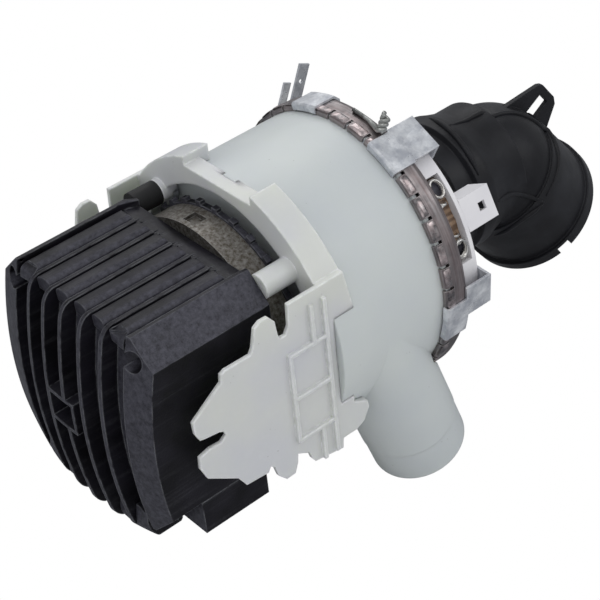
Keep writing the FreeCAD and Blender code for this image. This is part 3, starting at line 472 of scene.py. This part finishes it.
MOTOR_PLASTIC = PlasticFinish(
    "motor_plastic", (0.0040, 0.0036, 0.0055), (0.011, 0.010, 0.0155), (0.17, 0.175, 0.19),
    rough=0.46, edge_share=0.85, edge_radius=0.00075, cloud=55.0, grain=1500.0,
    grain_depth=0.00007, scuff=0.16, gloss=0.28, flow=Grain.ALONG_SHAFT,
    # Painted sheen: painted highlight on up-and-near faces, painted reflection on rear faces.
    dust_and_sheen=(0.085, 0.085, 0.108), painted_sheen_top=0.78, painted_sheen_rear=0.62,
)
BODY_PLASTIC = PlasticFinish(
    "body_plastic", (0.50, 0.53, 0.543), (0.545, 0.575, 0.565), (0.66, 0.69, 0.69),
    rough=0.4, edge_share=0.15, edge_radius=0.0009, cloud=16.0, grain=900.0,
    grain_depth=0.00002, scuff=0.04, speck=0.35, glow=0.25,
)
BRACKET_PLASTIC = PlasticFinish(
    "bracket_plastic", (0.555, 0.565, 0.585), (0.60, 0.612, 0.575), (0.90, 0.91, 0.91),
    rough=0.36, edge_share=0.9, edge_radius=0.0011, cloud=22.0, grain=700.0,
    grain_depth=0.00003, scuff=0.06, speck=0.5, glow=0.35,
)
CARRIER_PLASTIC = PlasticFinish(
    "carrier_plastic", (0.67, 0.66, 0.69), (0.72, 0.71, 0.73), (0.85, 0.85, 0.86),
    rough=0.45, edge_share=0.3, edge_radius=0.0003, cloud=60.0, grain=1600.0, scuff=0.05,
)
RUBBER = RubberFinish("elbow_rubber", (0.0065, 0.0065, 0.0085), (0.045, 0.048, 0.058))
SEAL_RUBBER = RubberFinish("seal_rubber", (0.012, 0.012, 0.013), (0.05, 0.05, 0.05), rough=0.55)
RING_STEEL = MetalFinish(
    "ring_steel", (0.15, 0.135, 0.14), (0.40, 0.32, 0.315), rough=0.42,
    grain=Grain.ROUND_SHAFT, streak=1200.0, tint_share=0.8,
)
TAB_STEEL = MetalFinish(
    "tab_steel", (0.13, 0.115, 0.12), (0.80, 0.66, 0.65), rough=0.32, streak=700.0,
    tint_share=0.9, patch=190.0,
)
PLATE_STEEL = MetalFinish(
    "plate_steel", (0.60, 0.59, 0.57), (0.46, 0.42, 0.38), rough=0.32, grain=Grain.ROUND_SHAFT,
)
SHIELD_STEEL = MetalFinish(
    "shield_steel", (0.085, 0.072, 0.055), (0.16, 0.14, 0.115), rough=0.5, tint_share=0.8,
    patch=45.0, shine=0.8,
)
ZINC = MetalFinish(
    "zinc_sheet", (0.42, 0.44, 0.49), (0.90, 0.92, 0.95), rough=0.34, spangle=240.0,
    streak=420.0, tint_share=0.95, patch=130.0, shine=0.55,
)
SPRING_METAL = MetalFinish(
    "spring_metal", (0.70, 0.70, 0.68), (0.55, 0.48, 0.42), rough=0.28, streak=1500.0,
)
SHAFT_STEEL = MetalFinish(
    "shaft_metal", (0.66, 0.66, 0.67), (0.5, 0.5, 0.52), rough=0.2, grain=Grain.ROUND_SHAFT,
)
BRONZE = MetalFinish(
    "bearing_bronze", (0.55, 0.36, 0.16), (0.40, 0.26, 0.14), rough=0.38,
    grain=Grain.ROUND_SHAFT,
)
WIRE_METAL = MetalFinish(
    "wire_metal", (0.34, 0.35, 0.33), (0.62, 0.63, 0.62), rough=0.42, streak=1200.0,
)
COPPER = LayeredFinish(
    "copper_winding", (0.56, 0.23, 0.09), (0.16, 0.05, 0.02), 340.0, "X", 0.8, 0.3, 0.0002
)
LAMINATION = LayeredFinish(
    "core_lamination", (0.24, 0.23, 0.22), (0.09, 0.08, 0.075), 420.0, "X", 0.6, 0.5, 0.00005
)
MICA = LayeredFinish(
    "mica_sheet", (0.30, 0.20, 0.13), (0.13, 0.08, 0.05), 260.0, "Y", 0.0, 0.35, 0.00006
)
MAGNET = PlasticFinish(
    "ferrite", (0.055, 0.055, 0.06), (0.075, 0.072, 0.07), (0.16, 0.16, 0.16), rough=0.5,
    grain=3000.0, grain_depth=0.00005,
)
CERAMIC = PlasticFinish(
    "seal_ceramic", (0.74, 0.71, 0.64), (0.78, 0.75, 0.68), (0.85, 0.84, 0.8), rough=0.2,
    grain=3500.0, grain_depth=0.00001,
)
CARBON = PlasticFinish(
    "seal_carbon", (0.035, 0.035, 0.037), (0.05, 0.05, 0.05), (0.12, 0.12, 0.12), rough=0.3,
)


class Workshop:
    """Makes each finish once and puts it on pieces."""

    def __init__(self) -> None:
        """Start with no materials."""
        self.made: dict[str, bpy.types.Material] = {}

    def paint(self, piece: bpy.types.Object, finish: Finish) -> None:
        """Give a piece one finish.

        Args:
            piece: Object to dress.
            finish: Finish to put on.
        """
        if finish.name not in self.made:
            self.made[finish.name] = finish.build()
        piece.data.materials.clear()
        piece.data.materials.append(self.made[finish.name])

    def paint_node(self, node: str, finish: Finish) -> None:
        """Give a carried node one finish.

        Args:
            node: Name of the node.
            finish: Finish to put on.
        """
        self.paint(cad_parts[node], finish)
        LOG.info("dressed %s with %s", node, finish.name)


def mesh_piece(
    name: str, points: Sequence[Point], faces: Sequence[Sequence[int]], body: str = "pump"
) -> bpy.types.Object:
    """Make a smooth mesh piece that rides on a body.

    Args:
        name: Name of the piece.
        points: Corners in metres.
        faces: Corner numbers of each face.
        body: Body it moves with.

    Returns:
        The new object.
    """
    mesh = bpy.data.meshes.new(name)
    mesh.from_pydata([tuple(p) for p in points], [], [tuple(f) for f in faces])
    mesh.polygons.foreach_set("use_smooth", [True] * len(mesh.polygons))
    mesh.update()
    piece = bpy.data.objects.new(name, mesh)
    bpy.context.scene.collection.objects.link(piece)
    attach(piece, body)
    return piece


def recut(
    node: str, name: str, cuts: Sequence[tuple[Point, Point]]
) -> tuple[bpy.types.Object, bmesh.types.BMesh]:
    """Copy a carried node as a welded mesh with extra edge loops.

    Args:
        node: Node that is copied and stood for.
        name: Name of the new piece.
        cuts: Point and normal of each plane that adds a loop.

    Returns:
        The new object and its open mesh.
    """
    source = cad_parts[node]
    piece = bpy.data.objects.new(name, bpy.data.meshes.new(name))
    bpy.context.scene.collection.objects.link(piece)
    shape = bmesh.new()
    shape.from_mesh(source.data)
    bmesh.ops.remove_doubles(shape, verts=shape.verts, dist=0.000002)
    for spot, normal in cuts:
        everything = [*shape.verts, *shape.edges, *shape.faces]
        bmesh.ops.bisect_plane(shape, geom=everything, plane_co=spot, plane_no=normal, dist=1e-6)
    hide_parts(node)
    return piece, shape


def settle(
    piece: bpy.types.Object, shape: bmesh.types.BMesh, body: str = "pump", angle: float = 32.0
) -> None:
    """Write an open mesh into its piece, smooth it by angle and let it ride.

    Args:
        piece: Object that takes the mesh.
        shape: Open mesh.
        body: Body it moves with.
        angle: Edges sharper than this many degrees stay sharp.
    """
    bmesh.ops.recalc_face_normals(shape, faces=shape.faces)
    shape.to_mesh(piece.data)
    shape.free()
    stale = piece.data.attributes.get("custom_normal")
    if stale:
        piece.data.attributes.remove(stale)
    piece.data.polygons.foreach_set("use_smooth", [True] * len(piece.data.polygons))
    piece.data.set_sharp_from_angle(angle=math.radians(angle))
    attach(piece, body)


def wrap(first: int, rings: int, sides: int) -> list[list[int]]:
    """Faces between rings of corners that follow each other.

    Args:
        first: Number of the first ring's first corner.
        rings: How many rings there are.
        sides: Corners of a ring.

    Returns:
        One face for each side between two rings.
    """
    faces = []
    for ring in range(rings - 1):
        for side in range(sides):
            a = first + ring * sides + side
            b = first + ring * sides + (side + 1) % sides
            faces.append([a, b, b + sides, a + sides])
    return faces


def tube(
    path: Sequence[Vector], radii: Sequence[float], first: int = 0, sides: int = 12
) -> tuple[list[Vector], list[list[int]]]:
    """Round skin along a path, closed at both ends.

    Args:
        path: Points of the middle line.
        radii: Radius at each point.
        first: Number of the first corner.
        sides: Corners of the section.

    Returns:
        Corners and faces.
    """
    points: list[Vector] = []
    across = Vector((0.37, 0.61, 0.70))
    for index, centre in enumerate(path):
        ahead = path[min(index + 1, len(path) - 1)] - path[max(index - 1, 0)]
        ahead.normalize()
        across = (across - ahead * across.dot(ahead)).normalized()
        other = ahead.cross(across)
        for side in range(sides):
            turn = 2 * math.pi * side / sides
            spoke = across * math.cos(turn) + other * math.sin(turn)
            points.append(centre + spoke * radii[index])
    faces = wrap(first, len(path), sides)
    last = first + (len(path) - 1) * sides
    faces.append([first + side for side in reversed(range(sides))])
    faces.append([last + side for side in range(sides)])
    return points, faces


def smooth(knots: Sequence[Point], steps: int = 8) -> list[Vector]:
    """Even curve through a few points.

    Args:
        knots: Points on the curve.
        steps: Points made between two knots.

    Returns:
        Points of the curve.
    """
    spots = [Vector(knot) for knot in knots]
    ends = [2 * spots[0] - spots[1], *spots, 2 * spots[-1] - spots[-2]]
    curve: list[Vector] = []
    for first, start, end, last in zip(ends, ends[1:], ends[2:], ends[3:]):
        for step in range(steps):
            t = step / steps
            bow = (end - first) * t + (2 * first - 5 * start + 4 * end - last) * t * t
            bow += (3 * start - 3 * end + last - first) * t * t * t
            curve.append(start + bow / 2)
    return [*curve, spots[-1]]


def round_shaft(x: float, radius: float, degrees: float) -> Vector:
    """Point at an angle round the shaft, 0 at the top and growing toward -Y.

    Args:
        x: Place along the shaft in metres.
        radius: Distance from the shaft in metres.
        degrees: Angle.

    Returns:
        The point.
    """
    turn = math.radians(degrees)
    return Vector((x, -radius * math.sin(turn), radius * math.cos(turn)))


def round_end(radius: float, past: float) -> float:
    """How far a rounded end falls back from its flat.

    Args:
        radius: Radius of the rounding.
        past: Distance past the start of the rounding.

    Returns:
        The fall in metres.
    """
    past = min(past, radius)
    return radius - math.sqrt(radius**2 - past * past)


@dataclass(frozen=True)
class Crown:
    """Bulged rear of the motor, with its own radius across and upright."""

    back: float
    across: float
    upright: float
    side: float = 0.0
    level: float = 0.0

    def at(self, y: float, z: float) -> float:
        """Place of the crown along the shaft.

        Args:
            y: Sideways place in metres.
            z: Height in metres.

        Returns:
            Its x in metres.
        """
        y, z = y - self.side, z - self.level
        depth = self.across - math.sqrt(self.across**2 - y * y)
        return self.back + depth + self.upright - math.sqrt(self.upright**2 - z * z)


@dataclass
class Motor:
    """Ribbed housing, its connector, the stator behind it and the rotor."""

    shop: Workshop
    plain: Crown = Crown(-0.1213, 0.092, 0.120)
    true: Crown = Crown(-0.1200, 0.128, 0.166, 0.0012, -0.0063)
    keep_from: float = -0.084
    rear: float = -0.104
    blade_top: float = 0.0383
    top_round: float = 0.0052
    sole: float = -0.0465
    sole_round: float = 0.0062
    ribs_half: float = 0.0287
    blade_back: float = -0.1105
    shelf_top: float = 0.0366
    bar_ends: tuple[float, float] = (-0.069, -0.066)
    bar_short: float = 0.0034
    taper_from: float = -0.0668
    taper_run: float = 0.0043
    taper_outside: float = 0.034
    taper: float = 0.035

    def dress(self) -> None:
        """Put the finishes on the motor's nodes."""
        looks = {
            "motor_connector": MOTOR_PLASTIC, "coil_former": MOTOR_PLASTIC,
            "motor_connector_pins": SPRING_METAL,
            "stator_core": LAMINATION, "stator_windings": COPPER,
            "motor_end_shield": SHIELD_STEEL, "rear_bearing": BRONZE, "front_bearing": BRONZE,
            "rotor_shaft": SHAFT_STEEL, "rotor_core": LAMINATION, "rotor_magnet": MAGNET,
        }
        for node, finish in looks.items():
            self.shop.paint_node(node, finish)

    def bend(self, spot: Vector) -> Vector:
        """Where a point of the plain housing goes on the finely shaped one.

        Args:
            spot: Point of the plain housing.

        Returns:
            The moved point.
        """
        x, y, z = spot
        share = min(1.0, max(0.0, (self.keep_from - x) / (self.keep_from - self.rear)))
        share = share * share * (3 - 2 * share)
        x += share * (self.true.at(y, z) - self.plain.at(y, z))
        low = self.sole + self.sole_round - z
        ribbed = abs(y) < self.ribs_half
        if low > 0 and ribbed:
            x += share * 0.8 * round_end(self.sole_round, low)
        high = z - self.blade_top + self.top_round
        if high > 0 and ribbed and x < self.blade_back:
            x += share * 0.6 * round_end(self.top_round, high)
        if ribbed and z > self.shelf_top and self.bar_ends[0] < x < self.bar_ends[1]:
            x -= self.bar_short
        elif x > self.taper_from:
            narrow = 1 - self.taper * (x - self.taper_from) / self.taper_run
            if max(abs(y), abs(z)) > self.taper_outside:
                y, z = y * narrow, z * narrow
        return Vector((x, y, z))

    def build_housing(self) -> bpy.types.Object:
        """Make the ribbed housing with its gentle crown and rounded rib ends.

        Returns:
            The housing's piece.
        """
        levels = [self.sole + 0.0008 * step for step in range(1, 10)]
        levels += [self.blade_top - 0.0007 * step for step in range(0, 9)]
        levels += [-0.036 + 0.004 * step for step in range(17)]
        cuts = [((0, 0, z), (0, 0, 1)) for z in levels]
        cuts += [((x, 0, 0), (1, 0, 0)) for x in (self.taper_from, -0.090, -0.096, self.rear)]
        piece, shape = recut("motor_housing", "ribbed_housing", cuts)
        for corner in shape.verts:
            corner.co = self.bend(corner.co)
        settle(piece, shape)
        self.shop.paint(piece, MOTOR_PLASTIC)
        return piece


@dataclass
class Bracket:
    """White mounting bracket with its screws and spacers."""

    shop: Workshop
    inner_face: float = 0.0438
    outer_face: float = 0.047
    edge_thick: float = 0.0014
    collar_from: float = -0.0415
    slack: float = 0.0002
    lip: float = 0.0008

    def build_bracket(self) -> bpy.types.Object:
        """Make the bracket with thin, round-edged side plates.

        Returns:
            The bracket's piece.
        """
        piece, shape = recut("mounting_bracket", "hooked_bracket", [])
        for corner in shape.verts:
            inner = abs(abs(corner.co.y) - self.inner_face) < self.slack
            if inner and corner.co.x < self.collar_from:
                side = math.copysign(1.0, corner.co.y)
                corner.co.y = side * (self.outer_face - self.edge_thick)
        bmesh.ops.dissolve_limit(
            shape, angle_limit=math.radians(1.0), verts=shape.verts, edges=shape.edges
        )
        settle(piece, shape, angle=35.0)
        round_off = piece.modifiers.new("round_off", "BEVEL")
        round_off.width = self.lip
        round_off.segments = 2
        round_off.limit_method = "ANGLE"
        round_off.angle_limit = math.radians(50.0)
        round_off.use_clamp_overlap = True
        round_off.harden_normals = True
        self.shop.paint(piece, BRACKET_PLASTIC)
        return piece

    def dress(self) -> None:
        """Put the finishes on the bracket's nodes."""
        self.shop.paint_node("bracket_screws", ZINC)
        self.shop.paint_node("bracket_spacers", SEAL_RUBBER)


@dataclass
class Hydraulics:
    """White body with everything that the water passes in it."""

    shop: Workshop

    def dress(self) -> None:
        """Put the finishes on the body and on the parts inside."""
        looks = {
            "pump_body": BODY_PLASTIC, "body_gasket": SEAL_RUBBER, "seal_cup": SEAL_RUBBER,
            "seal_seat": CERAMIC, "seal_ring": CARBON, "impeller": CARRIER_PLASTIC,
            "impeller_nut": BRONZE, "guide_ring": CARRIER_PLASTIC,
            "suction_tube": CARRIER_PLASTIC,
        }
        for node, finish in looks.items():
            self.shop.paint_node(node, finish)


@dataclass
class HeaterRing:
    """Heater plate and tube with the crimped ring, its tabs, terminals and wire."""

    shop: Workshop
    radius: float = 0.0524
    back: float = -0.0006
    count: int = 38
    phase: float = -1.6
    slit: float = 0.9
    sink: float = 0.0001
    swell: float = 0.00045
    tab_reach: float = 0.0036
    wire: float = 0.0008
    twist_start: Point = (0.0052, -0.0178, 0.0507)
    twist_end: Point = (0.0094, -0.0166, 0.0548)
    turns: float = 1.9
    bow_place: float = 0.0062
    strand_steps: tuple[int, int] = (44, 37)

    def dress(self) -> None:
        """Put the finishes on the heater's nodes."""
        looks = {
            "heater_plate": PLATE_STEEL, "heater_tube": RING_STEEL, "crimp_ring": RING_STEEL,
            "heater_terminals": ZINC, "ring_sleeve": ZINC,
        }
        for node, finish in looks.items():
            self.shop.paint_node(node, finish)

    def build_tabs(self) -> bpy.types.Object:
        """Make the swollen tabs between the ring's slits.

        Returns:
            The piece with all the tabs.
        """
        points: list[Vector] = []
        faces: list[list[int]] = []
        pitch = 360.0 / self.count
        rows, columns = 7, 9
        for number in range(self.count):
            start = self.phase + pitch * number + self.slit
            sweep = pitch - 2 * self.slit
            first = len(points)
            depth = self.tab_reach * (0.9 + 0.1 * math.sin(number * 2.3))
            for row in range(rows):
                v = row / (rows - 1)
                for column in range(columns):
                    u = column / (columns - 1)
                    inset = 0.10 * (1 - math.sqrt(max(0.0, 1 - (2 * v - 1) ** 4)))
                    angle = start + sweep * (inset + (1 - 2 * inset) * u)
                    rise = (1 - (2 * u - 1) ** 6) * (1 - (2 * v - 1) ** 6)
                    hidden = max(0.0, -math.sin(math.radians(angle)))
                    rise *= 1 - hidden * hidden
                    swell = self.swell * (0.8 + 0.35 * math.sin(number * 1.7))
                    lift = swell * rise - self.sink
                    x = self.back + 2 * self.sink + depth * v
                    points.append(round_shaft(x, self.radius + lift, angle))
            for row in range(rows - 1):
                for column in range(columns - 1):
                    a = first + row * columns + column
                    faces.append([a, a + 1, a + columns + 1, a + columns])
        piece = mesh_piece("ring_tabs", points, faces)
        self.shop.paint(piece, TAB_STEEL)
        return piece

    def build_wire(self) -> bpy.types.Object:
        """Make the binding wire: a bow on the ring and two ends twisted together.

        Returns:
            The wire's piece.
        """
        points: list[Vector] = []
        faces: list[list[int]] = []
        low, high = Vector(self.twist_start), Vector(self.twist_end)
        axis = (high - low).normalized()
        side = axis.orthogonal()
        other = axis.cross(side)
        for strand in range(2):
            path = [
                round_shaft(self.bow_place, self.radius + self.wire, angle)
                for angle in range(4, 14, 2)
            ]
            for step in range(self.strand_steps[strand]):
                share = step / (max(self.strand_steps) - 1)
                turn = 2 * math.pi * self.turns * share + math.pi * strand
                ring = side * math.cos(turn) + other * math.sin(turn)
                path.append(low.lerp(high, share) + ring * self.wire * 1.02)
            path.append(path[-1] + axis * 0.0006 + (side if strand else other) * 0.0005)
            radii = [self.wire * 0.92] * len(path)
            more, skin = tube(path, radii, len(points), 10)
            points += more
            faces += skin
        piece = mesh_piece("twisted_wire", points, faces)
        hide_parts("binding_wire")
        self.shop.paint(piece, WIRE_METAL)
        return piece


@dataclass
class Thermostat:
    """Clips, carrier, cut-outs and the small connector in front of it."""

    shop: Workshop
    back: float = 0.0097
    front: float = 0.0159
    middle: float = 0.0131
    cup_top: float = 0.0477
    oval: float = 1.3
    cup_angles: tuple[float, float] = (47.6, 74.6)
    cup_outline: tuple[tuple[float, float], ...] = (
        (0.0019, -0.0016), (0.0021, 0.0), (0.0025, 0.0002), (0.0028, -0.0002),
        (0.0029, -0.0016), (0.0029, -0.0034),
    )
    liner: tuple[float, float] = (42.6, 37.6)
    liner_radii: tuple[float, float] = (0.0437, 0.0450)
    ripple: float = 0.0002
    leads: tuple[tuple[float, float], ...] = (
        (53.0, 2.0), (56.0, -1.5), (67.5, 1.5), (70.0, 2.5), (79.0, -2.0),
    )
    lead_bow: tuple[Point, ...] = (
        (0.0010, 0.0449, 0.0), (0.0016, 0.0463, 0.4), (0.0032, 0.0472, 0.8),
        (0.0046, 0.0462, 1.0), (0.0052, 0.0448, 1.1),
    )
    lead_wire: float = 0.00045

    def dress(self) -> None:
        """Put the finishes on the carrier's nodes."""
        looks = {
            "upper_clip": ZINC, "lower_clip": ZINC, "thermostat_holder": CARRIER_PLASTIC,
            "thermal_cutouts": MOTOR_PLASTIC, "contact_springs": SPRING_METAL,
            "connector_housing": CARRIER_PLASTIC, "connector_blades": SPRING_METAL,
        }
        for node, finish in looks.items():
            self.shop.paint_node(node, finish)

    def build_cups(self) -> bpy.types.Object:
        """Make the bright cups of the two cut-outs.

        Returns:
            The piece with both cups.
        """
        points: list[Vector] = []
        faces: list[list[int]] = []
        sides = 24
        for angle in self.cup_angles:
            centre = round_shaft(self.middle, self.cup_top, angle)
            out = round_shaft(0.0, 1.0, angle)
            along = Vector((1.0, 0.0, 0.0))
            across = out.cross(along)
            first = len(points)
            for reach, height in self.cup_outline:
                for side in range(sides):
                    turn = 2 * math.pi * side / sides
                    spoke = along * math.cos(turn) + across * self.oval * math.sin(turn)
                    points.append(centre + spoke * reach + out * height)
            faces += wrap(first, len(self.cup_outline), sides)
        piece = mesh_piece("cutout_cups", points, faces)
        self.shop.paint(piece, SPRING_METAL)
        return piece

    def build_liner(self) -> bpy.types.Object:
        """Make the mica liner that fills the carrier's channel under the cups.

        Returns:
            The liner's piece.
        """
        start, sweep = self.liner
        under, over = self.liner_radii
        section = (
            (self.back, under), (self.back, over), (self.front, over), (self.front, under)
        )
        points: list[Vector] = []
        steps = 36
        for step in range(steps + 1):
            angle = start + sweep * step / steps
            ripple = self.ripple * math.sin(step * 0.7)
            points += [round_shaft(x, radius + ripple, angle) for x, radius in section]
        faces = wrap(0, steps + 1, 4)
        faces += [[3, 2, 1, 0], [steps * 4 + i for i in range(4)]]
        piece = mesh_piece("mica_liner", points, faces)
        piece.data.set_sharp_from_angle(angle=math.radians(40.0))
        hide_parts("mica_insulator")
        self.shop.paint(piece, MICA)
        return piece

    def build_leads(self) -> bpy.types.Object:
        """Make the small bent leads between the cut-outs.

        Returns:
            The piece with all the leads.
        """
        points: list[Vector] = []
        faces: list[list[int]] = []
        for angle, lean in self.leads:
            path = [
                round_shaft(self.back + ahead, radius, angle + lean * share)
                for ahead, radius, share in self.lead_bow
            ]
            more, skin = tube(path, [self.lead_wire] * len(path), len(points), 8)
            points += more
            faces += skin
        piece = mesh_piece("cutout_leads", points, faces)
        self.shop.paint(piece, SPRING_METAL)
        return piece


@dataclass
class Inlet:
    """Rubber elbow with the raised seams of its mould."""

    shop: Workshop
    ear_from: float = 0.08
    ear_half: float = 0.0018
    ear_thin: float = 0.0009
    slot_growth: float = 0.22
    slot_middle: tuple[float, float] = (0.09725, 0.00958)
    slot_corners: tuple[tuple[float, float], ...] = (
        (0.0987, 0.0134), (0.1018, 0.0093), (0.0961, 0.0058), (0.0924, 0.0098),
    )
    bold_seam: float = 0.0011
    main_seam: float = 0.0010
    fine_seam: float = 0.0009
    neck_radius: float = 0.0256
    neck_place: float = 0.0485
    neck_lean: float = 0.000045
    neck_arc: tuple[int, int] = (-13, 59)
    dome_seam: tuple[Point, ...] = (
        (0.0500, -0.0035, 0.0255), (0.0620, -0.0030, 0.0235), (0.0765, -0.0040, 0.0180),
        (0.0865, -0.0085, 0.0125), (0.0910, -0.0125, 0.0060), (0.0885, -0.0195, 0.0000),
        (0.0755, -0.0255, -0.0080),
    )
    low_seam: tuple[Point, ...] = (
        (0.0510, -0.0255, 0.0025), (0.0620, -0.0230, -0.0010), (0.0745, -0.0255, -0.0100),
    )
    crease: tuple[Point, ...] = (
        (0.0740, -0.0255, -0.0105), (0.0650, -0.0230, -0.0145), (0.0590, -0.0150, -0.0220),
    )

    def build_elbow(self) -> bpy.types.Object:
        """Make the elbow with its thin ear and open slot.

        Returns:
            The elbow's piece.
        """
        piece, shape = recut("inlet_elbow", "rubber_elbow", [])
        for corner in shape.verts:
            on_face = abs(abs(corner.co.y) - self.ear_half) < 0.00005
            if on_face and corner.co.x > self.ear_from:
                corner.co.y = math.copysign(self.ear_thin, corner.co.y)
                for x, z in self.slot_corners:
                    if math.hypot(corner.co.x - x, corner.co.z - z) < 0.0004:
                        corner.co.x += self.slot_growth * (x - self.slot_middle[0])
                        corner.co.z += self.slot_growth * (z - self.slot_middle[1])
        settle(piece, shape, angle=38.0)
        self.shop.paint(piece, RUBBER)
        return piece

    def build_seams(self) -> list[bpy.types.Object]:
        """Make the raised lines on the elbow.

        Returns:
            One piece for each line.
        """
        neck = [
            round_shaft(self.neck_place - self.neck_lean * angle, self.neck_radius, angle)
            for angle in range(*self.neck_arc, 3)
        ]
        return [
            self.seam("seam_neck", neck, self.bold_seam),
            self.seam("seam_dome", smooth(self.dome_seam), self.main_seam),
            self.seam("seam_low", smooth(self.low_seam), self.fine_seam),
            self.seam("seam_crease", smooth(self.crease), self.fine_seam),
        ]

    def seam(self, name: str, guide: Sequence[Vector], radius: float) -> bpy.types.Object:
        """Make a raised line that lies on the elbow.

        Args:
            name: Name of the piece.
            guide: Points near the rubber that the line follows.
            radius: Half width of the line.

        Returns:
            The line's piece.
        """
        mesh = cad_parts["inlet_elbow"].data
        tree = BVHTree.FromPolygons(
            [v.co for v in mesh.vertices], [tuple(p.vertices) for p in mesh.polygons]
        )
        path = [tree.find_nearest(spot)[0] for spot in guide]
        count = len(path) - 1
        radii = [radius * min(1.0, 0.25 + 4 * min(i, count - i) / count) for i in range(count + 1)]
        points, faces = tube(path, radii)
        piece = mesh_piece(name, points, faces)
        self.shop.paint(piece, RUBBER)
        return piece


@dataclass(frozen=True)
class Lamp:
    """Square soft lamp: where it stands, its side in metres and its power in watts."""

    name: str
    place: Point
    width: float
    power: float


@dataclass
class Studio:
    """Camera, lamps, floor and white surroundings."""

    lens: float = 110.37
    place: Point = (-0.32788, -0.40299, 0.37859)
    aim: tuple[float, float, float, float] = (0.8338546, 0.4244492, -0.117444, -0.3327705)
    ambient: float = 0.72
    mirrored: float = 0.40
    floor_half: float = 3.0
    aim_point: Point = (-0.02, 0.0, 0.0)
    lamps: tuple[Lamp, ...] = (
        Lamp("key", (-0.35, -0.15, 1.25), 0.9, 3.4),
        Lamp("fill", (0.85, -1.0, 1.0), 0.8, 3.0),
        Lamp("back", (0.7, 0.95, 1.0), 0.9, 4.2),
        Lamp("near", (-0.5, -1.3, 0.25), 1.0, 1.7),
    )

    def build_camera(self) -> None:
        """Place the camera where the photo was taken from."""
        data = bpy.data.cameras.new("camera")
        data.sensor_width = 36.0
        data.lens = self.lens
        data.clip_start = 0.05
        data.clip_end = 50.0
        camera = bpy.data.objects.new("camera", data)
        camera.location = self.place
        camera.rotation_mode = "QUATERNION"
        camera.rotation_quaternion = self.aim
        bpy.context.scene.collection.objects.link(camera)
        bpy.context.scene.camera = camera

    def light(self, lamp: Lamp) -> None:
        """Add a lamp that points at the pump.

        Args:
            lamp: Lamp to add.
        """
        data = bpy.data.lights.new(lamp.name, "AREA")
        data.shape = "SQUARE"
        data.size = lamp.width
        data.energy = lamp.power
        made = bpy.data.objects.new(lamp.name, data)
        made.location = lamp.place
        toward = Vector(self.aim_point) - Vector(lamp.place)
        made.rotation_mode = "QUATERNION"
        made.rotation_quaternion = toward.to_track_quat("-Z", "Y")
        bpy.context.scene.collection.objects.link(made)

    def build_floor(self, level: float) -> None:
        """Make the pale floor, white where the camera looks at it.

        Args:
            level: Height of the floor.
        """
        graph = Graph("floor_paper")
        speckle = graph.span(graph.noise(400.0), 0.3, 0.7)
        shade = graph.mix(speckle, (0.78, 0.78, 0.78), (0.82, 0.82, 0.82))
        rays = graph.tree.nodes.new("ShaderNodeLightPath").outputs
        shade = graph.mix(rays["Is Glossy Ray"], shade, (0.26, 0.265, 0.28))
        paper = graph.node("ShaderNodeBsdfDiffuse", {"Color": shade}).outputs[0]
        white = graph.node("ShaderNodeEmission", {"Color": WHITE}).outputs[0]
        seen = rays["Is Camera Ray"]
        both = graph.node("ShaderNodeMixShader", {0: seen, 1: paper, 2: white}).outputs[0]
        graph.tree.links.new(both, graph.output.inputs[0])
        half = self.floor_half
        corners = [
            (-half, -half, level), (half, -half, level), (half, half, level), (-half, half, level),
        ]
        mesh = bpy.data.meshes.new("floor")
        mesh.from_pydata(corners, [], [(0, 1, 2, 3)])
        mesh.materials.append(graph.material)
        floor = bpy.data.objects.new("floor", mesh)
        bpy.context.scene.collection.objects.link(floor)
        floor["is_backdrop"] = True

    def sky(
        self, tree: bpy.types.NodeTree, colour: tuple[float, ...], strength: float
    ) -> bpy.types.NodeSocket:
        """Add one even background.

        Args:
            tree: Node tree of the world.
            colour: Its colour.
            strength: Its strength.

        Returns:
            Socket with the background.
        """
        made = tree.nodes.new("ShaderNodeBackground")
        made.inputs[0].default_value = colour
        made.inputs[1].default_value = strength
        return made.outputs[0]

    def build_world(self) -> None:
        """White surroundings for the camera, softer grey light for the rest."""
        world = bpy.data.worlds.new("surroundings")
        world.use_nodes = True
        tree = world.node_tree
        tree.nodes.clear()
        rays = tree.nodes.new("ShaderNodeLightPath").outputs
        shine = self.sky(tree, (0.97, 0.985, 1.0, 1), self.ambient)
        for ray, colour, strength in (
            ("Is Glossy Ray", (0.95, 0.97, 1.0, 1), self.mirrored),
            ("Is Camera Ray", WHITE, 1.0),
        ):
            mixed = tree.nodes.new("ShaderNodeMixShader")
            tree.links.new(rays[ray], mixed.inputs[0])
            tree.links.new(shine, mixed.inputs[1])
            tree.links.new(self.sky(tree, colour, strength), mixed.inputs[2])
            shine = mixed.outputs[0]
        tree.links.new(shine, tree.nodes.new("ShaderNodeOutputWorld").inputs[0])
        bpy.context.scene.world = world

    def build(self, level: float) -> None:
        """Make the whole studio.

        Args:
            level: Height of the floor.
        """
        self.build_camera()
        self.build_world()
        self.build_floor(level)
        for lamp in self.lamps:
            self.light(lamp)
        bpy.context.scene.view_settings.view_transform = "Standard"


def main() -> None:
    """Build every sub-assembly in order."""
    logging.basicConfig(level=logging.INFO, format="%(message)s")
    before = [list(corner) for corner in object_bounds()]
    shop = Workshop()
    motor = Motor(shop)
    motor.dress()
    bracket = Bracket(shop)
    bracket.dress()
    for piece in (motor.build_housing(), bracket.build_bracket()):
        LOG.info("made %s", piece.name)
    Hydraulics(shop).dress()
    heater = HeaterRing(shop)
    heater.dress()
    for piece in (heater.build_tabs(), heater.build_wire()):
        LOG.info("made %s", piece.name)
    thermostat = Thermostat(shop)
    thermostat.dress()
    inlet = Inlet(shop)
    made = [thermostat.build_cups(), thermostat.build_liner(), thermostat.build_leads()]
    for piece in (*made, inlet.build_elbow(), *inlet.build_seams()):
        LOG.info("made %s", piece.name)
    Studio().build(before[0][2] - 0.0004)


if __name__ == "__main__":
    main()
